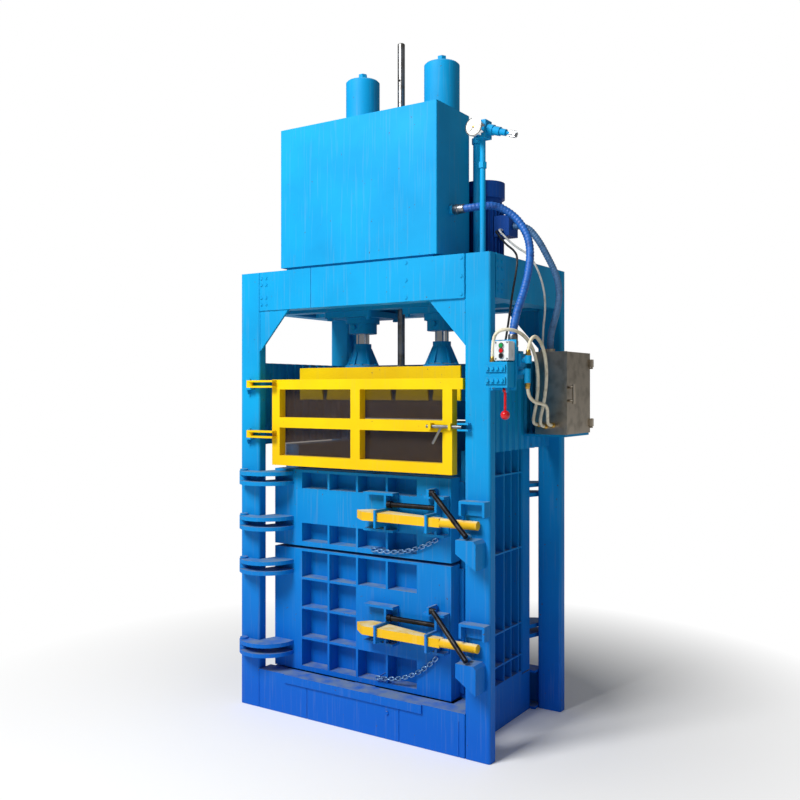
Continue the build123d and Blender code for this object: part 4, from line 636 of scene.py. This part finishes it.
facing_way = add(bolt_tree, "FunctionNodeAlignRotationToVector", {"axis": "Z"}, {"Vector": way_in.outputs[0]})
bolted = add(bolt_tree, "GeometryNodeInstanceOnPoints",
             links={"Points": sizes_in["Geometry"], "Instance": both.outputs[0],
                    "Rotation": facing_way.outputs[0]})
end_tree(bolt_tree, bolted.outputs[0], sizes_in)


# %% Bolt heads, in millimetres
def heads(xs, ys, zs, way):
    """A head at every crossing of three lists of places, with the direction that it faces."""
    return [((x, y, z), way) for x in xs for y in ys for z in zs]


def put_heads(name, placed, finish, radius, height):
    """Hexagon heads with flat faces on the frame; their sizes are in metres."""
    grow(name, bolt_tree, [at for at, _ in placed], {"Head radius": radius, "Head height": height}, finish,
         "frame", [way for _, way in placed], smooth=False)


# Faces of the columns, of the cover plate and the flange on the top beam, and of the controls
COLUMN_OUTSIDE, COLUMN_INSIDE, COLUMN_SIDE = 735, 607, 359.5
PLATE_FRONT, FLANGE_TOP, BOX_FRONT, PANEL_FRONT = -422.5, 2262, -470, -410
FLANGE_ROWS = (2084, 2118, 2184, 2218)
frame_bolts = (
    heads((300, 592), (PLATE_FRONT,), (2070, 2151, 2232), FRONT)
    + heads((-592, -560), (COLUMN_FRONT,), FLANGE_ROWS, FRONT)
    + heads((COLUMN_OUTSIDE,), (-340, -300), FLANGE_ROWS, RIGHT)
    + heads((-430, -150, 150, 430), (-390,), (FLANGE_TOP,), UP)
)
put_heads("frame_bolts", frame_bolts, blue_enamel, radius=0.0075, height=0.007)
small_screws = (
    heads((789, 843), (BOX_FRONT,), (1775, 1845), FRONT) + heads((747,), (PANEL_FRONT,), (1652, 1848), FRONT)
)
put_heads("control_screws", small_screws, drawn_bar, radius=0.003, height=0.003)

# %% The tree of a weld bead
weld_tree, sizes_in = start_tree("weld_bead", ("Bead radius", "Ripple"))
bead_line = add(weld_tree, "GeometryNodeMeshToCurve", links={"Mesh": sizes_in["Geometry"]})
steps = add(weld_tree, "GeometryNodeResampleCurve", {"mode": "LENGTH"},
            {"Curve": bead_line.outputs[0], "Length": sizes_in["Bead radius"]})
shake = add(weld_tree, "FunctionNodeRandomValue", {"data_type": "FLOAT_VECTOR", "Seed": 7})
shake.inputs[0].default_value = (-1, -1, -1)
small = add(weld_tree, "ShaderNodeVectorMath", {"operation": "SCALE"},
            {0: shake.outputs[0], "Scale": sizes_in["Ripple"]})
shaken = add(weld_tree, "GeometryNodeSetPosition",
             links={"Geometry": steps.outputs[0], "Offset": small.outputs[0]})
bead_round = add(weld_tree, "GeometryNodeCurvePrimitiveCircle", {"Resolution": 8},
                 {"Radius": sizes_in["Bead radius"]})
bead = add(weld_tree, "GeometryNodeCurveToMesh", {"Fill Caps": True},
           {"Curve": shaken.outputs[0], "Profile Curve": bead_round.outputs[0]})
end_tree(weld_tree, bead.outputs[0], sizes_in)

# %% Weld beads, in millimetres
BEAM_LOW, BEAM_HIGH = 2052, 2250
FOOT_LOW, FOOT_HIGH = 6, 198
GUSSET_FRONT, GUSSET_LOW, GUSSET_INSIDE = -411.5, 1842, 417
seams = []
for side in (-1, 1):
    corner = side * COLUMN_INSIDE
    seams.append(((corner, COLUMN_FRONT, BEAM_LOW), (corner, COLUMN_FRONT, BEAM_HIGH)))
    seams.append(((corner, COLUMN_FRONT, FOOT_LOW), (corner, COLUMN_FRONT, FOOT_HIGH)))
    seams.append(((corner, GUSSET_FRONT, GUSSET_LOW), (corner, GUSSET_FRONT, BEAM_LOW)))
    seams.append(((side * GUSSET_INSIDE, GUSSET_FRONT, BEAM_LOW), (corner, GUSSET_FRONT, BEAM_LOW)))
for y in (-COLUMN_SIDE, COLUMN_SIDE):
    seams.append(((COLUMN_OUTSIDE, y, BEAM_LOW), (COLUMN_OUTSIDE, y, BEAM_HIGH)))
seam_edges = [(2 * number, 2 * number + 1) for number in range(len(seams))]
grow("weld_beads", weld_tree, [end for seam in seams for end in seam],
     {"Bead radius": 0.003, "Ripple": 0.0007}, blue_enamel, "frame", edges=seam_edges)

# %% [markdown]
# ## Ferrules, glands and bezels
# A hose is held by a crimped ferrule with a nut behind it, a conduit by a brass gland, and each push
# button by a screwed bezel. Each profile is a list of distances along the axis and radii, in metres.

# %% Ferrules and glands
ferrule = ((0, 0.0215), (0.012, 0.0235), (0.024, 0.0235), (0.027, 0.0215), (0.052, 0.0215), (0.056, 0.0195))
hose_ends = [(Vector(pressure_hose_route[0]) * MM, RIGHT, ferrule),
             (Vector(pressure_hose_route[-1]) * MM, UP, ferrule)]
turned_set("hose_ferrules", hose_ends, drawn_bar)
gland = ((0, 0.0125), (0.010, 0.0125), (0.012, 0.0105), (0.022, 0.0105), (0.025, 0.0088))
glands = [(Vector(route[0]) * MM, way, gland) for _, route, _, way in conduits]
glands += [(Vector(route[-1]) * MM, FRONT, gland) for _, route, _, _ in conduits]
turned_set("conduit_glands", glands, turned_brass)

# %% Button bezels
BUTTON_X, BUTTON_LEVELS = 0.816, (1.832, 1.810, 1.788)
BEZEL_SIDES = 28
# A bezel is open in the middle, so its outline of radii and rises closes on itself
bezel_outline = ((0.0098, 0), (0.0130, 0), (0.0130, 0.003), (0.0118, 0.0042), (0.0098, 0.0042))
maker = bmesh.new()
for level in BUTTON_LEVELS:
    loops = [ring(maker, Vector((BUTTON_X, BOX_FRONT * MM - rise, level)), Vector(RIGHT), Vector(UP),
                  [radius] * BEZEL_SIDES) for radius, rise in bezel_outline]
    skin(maker, loops + loops[:1])
bezels = as_mesh(maker, "button_bezels")
shown("button_bezels", bezels, ground_chrome, "frame")
bezels.set_sharp_from_angle(angle=TURNED_EDGE)

# %% [markdown]
# ## The pressure gauge
# A Bourdon gauge has a plated case, a white dial with a scale of ticks, and a black pointer on a small
# boss. The dial carries no name. The case replaces the plain solid and keeps its size.

# %% Gauge
GAUGE = Vector((0.647, -0.373, 2.810))
CASE_DEPTH, STUB_LENGTH = 0.035, 0.008
DIAL = GAUGE + Vector((0, -CASE_DEPTH, 0))
GAUGE_SIDES = 40
case = ((0, 0.034), (0.004, 0.0385), (0.026, 0.0385), (0.028, 0.042), (0.034, 0.042), (CASE_DEPTH, 0.040))
stub = ((0, 0.011), (STUB_LENGTH, 0.011))
dial_plate = ((0, 0.0365), (0.0006, 0.0365), (0.0008, 0.0360))
boss = ((0.001, 0.004), (0.003, 0.004), (0.0036, 0.003))
stub_at = GAUGE + Vector((0, STUB_LENGTH, 0))
cased = turned_set("gauge_case", [(GAUGE, FRONT, case), (stub_at, FRONT, stub)], ground_chrome,
                   GAUGE_SIDES)
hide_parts("pressure_gauge")
turned_set("gauge_dial", [(DIAL, FRONT, dial_plate)], dial_white, GAUGE_SIDES)


# %% The gauge's scale and pointer
SCALE_START, SCALE_SWEEP = -135, 270
TICKS, TICKS_PER_LONG = 26, 5
# The inner radius and the half width of a long tick and a short one
LONG_TICK, SHORT_TICK = (0.026, 0.0007), (0.029, 0.0004)
TICK_END, TICK_LIFT, PRINT_THICKNESS = 0.033, 0.0009, 0.0004


def flat_bar(maker, centre, angle, inner, outer, half, lift):
    """A thin printed bar or pointer on the dial, between two radii."""
    out = Vector((math.sin(angle), 0, math.cos(angle)))
    side = Vector((out.z, 0, -out.x))
    corners = []
    for depth in (0.0, PRINT_THICKNESS):
        base = centre + Vector((0, -lift - depth, 0))
        for radius, sign in ((inner, -1), (inner, 1), (outer, 1), (outer, -1)):
            corners.append(maker.verts.new(base + out * radius + side * half * sign))
    for face in ((0, 1, 2, 3), (7, 6, 5, 4), (0, 4, 5, 1), (1, 5, 6, 2), (2, 6, 7, 3), (3, 7, 4, 0)):
        maker.faces.new([corners[i] for i in face])


maker = bmesh.new()
for tick in range(TICKS):
    angle = math.radians(SCALE_START + SCALE_SWEEP * tick / (TICKS - 1))
    inner, half_width = SHORT_TICK if tick % TICKS_PER_LONG else LONG_TICK
    flat_bar(maker, DIAL, angle, inner, TICK_END, half_width, TICK_LIFT)
# The pointer rests at the start of the scale, and its tail passes the boss
flat_bar(maker, DIAL, math.radians(SCALE_START), inner=-0.008, outer=0.026, half=0.0011, lift=0.0016)
shown("gauge_marks", as_mesh(maker, "gauge_marks"), dial_black, "frame", smooth=False)
turned_set("gauge_boss", [(DIAL, FRONT, boss)], turned_brass)

# %% [markdown]
# ## Floor and light
# The machine stands on a plain pale floor, which takes its shadow and runs into the white background
# further away. One large soft lamp at the front left lights the fronts, and leaves the right faces in
# shade, as the photograph shows. A weak lamp keeps that shade from going black. The world is white to
# the camera and weak to everything else, so it doesn't wash out the shade.

# %% Floor
FLOOR_HALF, FLOOR_DROP = 14.0, 0.0015
SHADOW_TO, WHITE_FROM = 1.1, 2.6
floor_mesh = bpy.data.meshes.new("studio_floor")
floor_corners = [(x * FLOOR_HALF, y * FLOOR_HALF, 0) for x, y in ((-1, -1), (1, -1), (1, 1), (-1, 1))]
floor_mesh.from_pydata(floor_corners, [], [(0, 1, 2, 3)])
floor = bpy.data.objects.new("studio_floor", floor_mesh)
bpy.context.scene.collection.objects.link(floor)
floor.location.z = -FLOOR_DROP
floor_white, tree, shader, place = start("studio_floor", {"Roughness": 1.0, "Specular IOR Level": 0.0})
shader.inputs["Base Color"].default_value = colour("#fbfbfb")
distance = add(tree, "ShaderNodeVectorMath", {"operation": "LENGTH"}, {0: place}).outputs["Value"]
rays = add(tree, "ShaderNodeLightPath").outputs
seen = maths(tree, "MAXIMUM", rays["Is Camera Ray"], rays["Is Transmission Ray"])
seen = maths(tree, "MAXIMUM", seen, rays["Is Glossy Ray"])
share = maths(tree, "MULTIPLY", ramp(tree, SHADOW_TO, WHITE_FROM, distance), seen)
glow = add(tree, "ShaderNodeEmission", {"Color": (1, 1, 1, 1), "Strength": 1.0})
blend = add(tree, "ShaderNodeMixShader", links={0: share, 1: shader.outputs[0], 2: glow.outputs[0]})
tree.links.new(blend.outputs[0], tree.nodes["Material Output"].inputs["Surface"])
floor_mesh.materials.append(floor_white)

# %% Light
WORLD_WEAK, WORLD_WHITE = 0.21, 1.0
world = bpy.data.worlds.new("studio")
world.use_nodes = True
bpy.context.scene.world = world
tree = world.node_tree
background = tree.nodes["Background"]
rays = add(tree, "ShaderNodeLightPath").outputs
seen = maths(tree, "MAXIMUM", rays["Is Camera Ray"], rays["Is Transmission Ray"])
level = add(tree, "ShaderNodeMapRange", {"To Min": WORLD_WEAK, "To Max": WORLD_WHITE}, {"Value": seen})
background.inputs["Color"].default_value = (1, 1, 1, 1)
tree.links.new(level.outputs["Result"], background.inputs["Strength"])


def lamp(name, power, size, at, target):
    """A square soft lamp that looks at a point."""
    light = bpy.data.lights.new(name, "AREA")
    light.energy = power
    light.size = size
    made = bpy.data.objects.new(name, light)
    made.location = at
    made.rotation_euler = (Vector(target) - Vector(at)).to_track_quat("-Z", "Y").to_euler()
    bpy.context.scene.collection.objects.link(made)


lamp("front_softbox", power=500, size=2.6, at=(-1.0, -4.9, 5.8), target=(0, 0, 2.2))
lamp("side_fill", power=9, size=3.0, at=(6.5, -2.5, 3.0), target=(0, 0, 1.5))
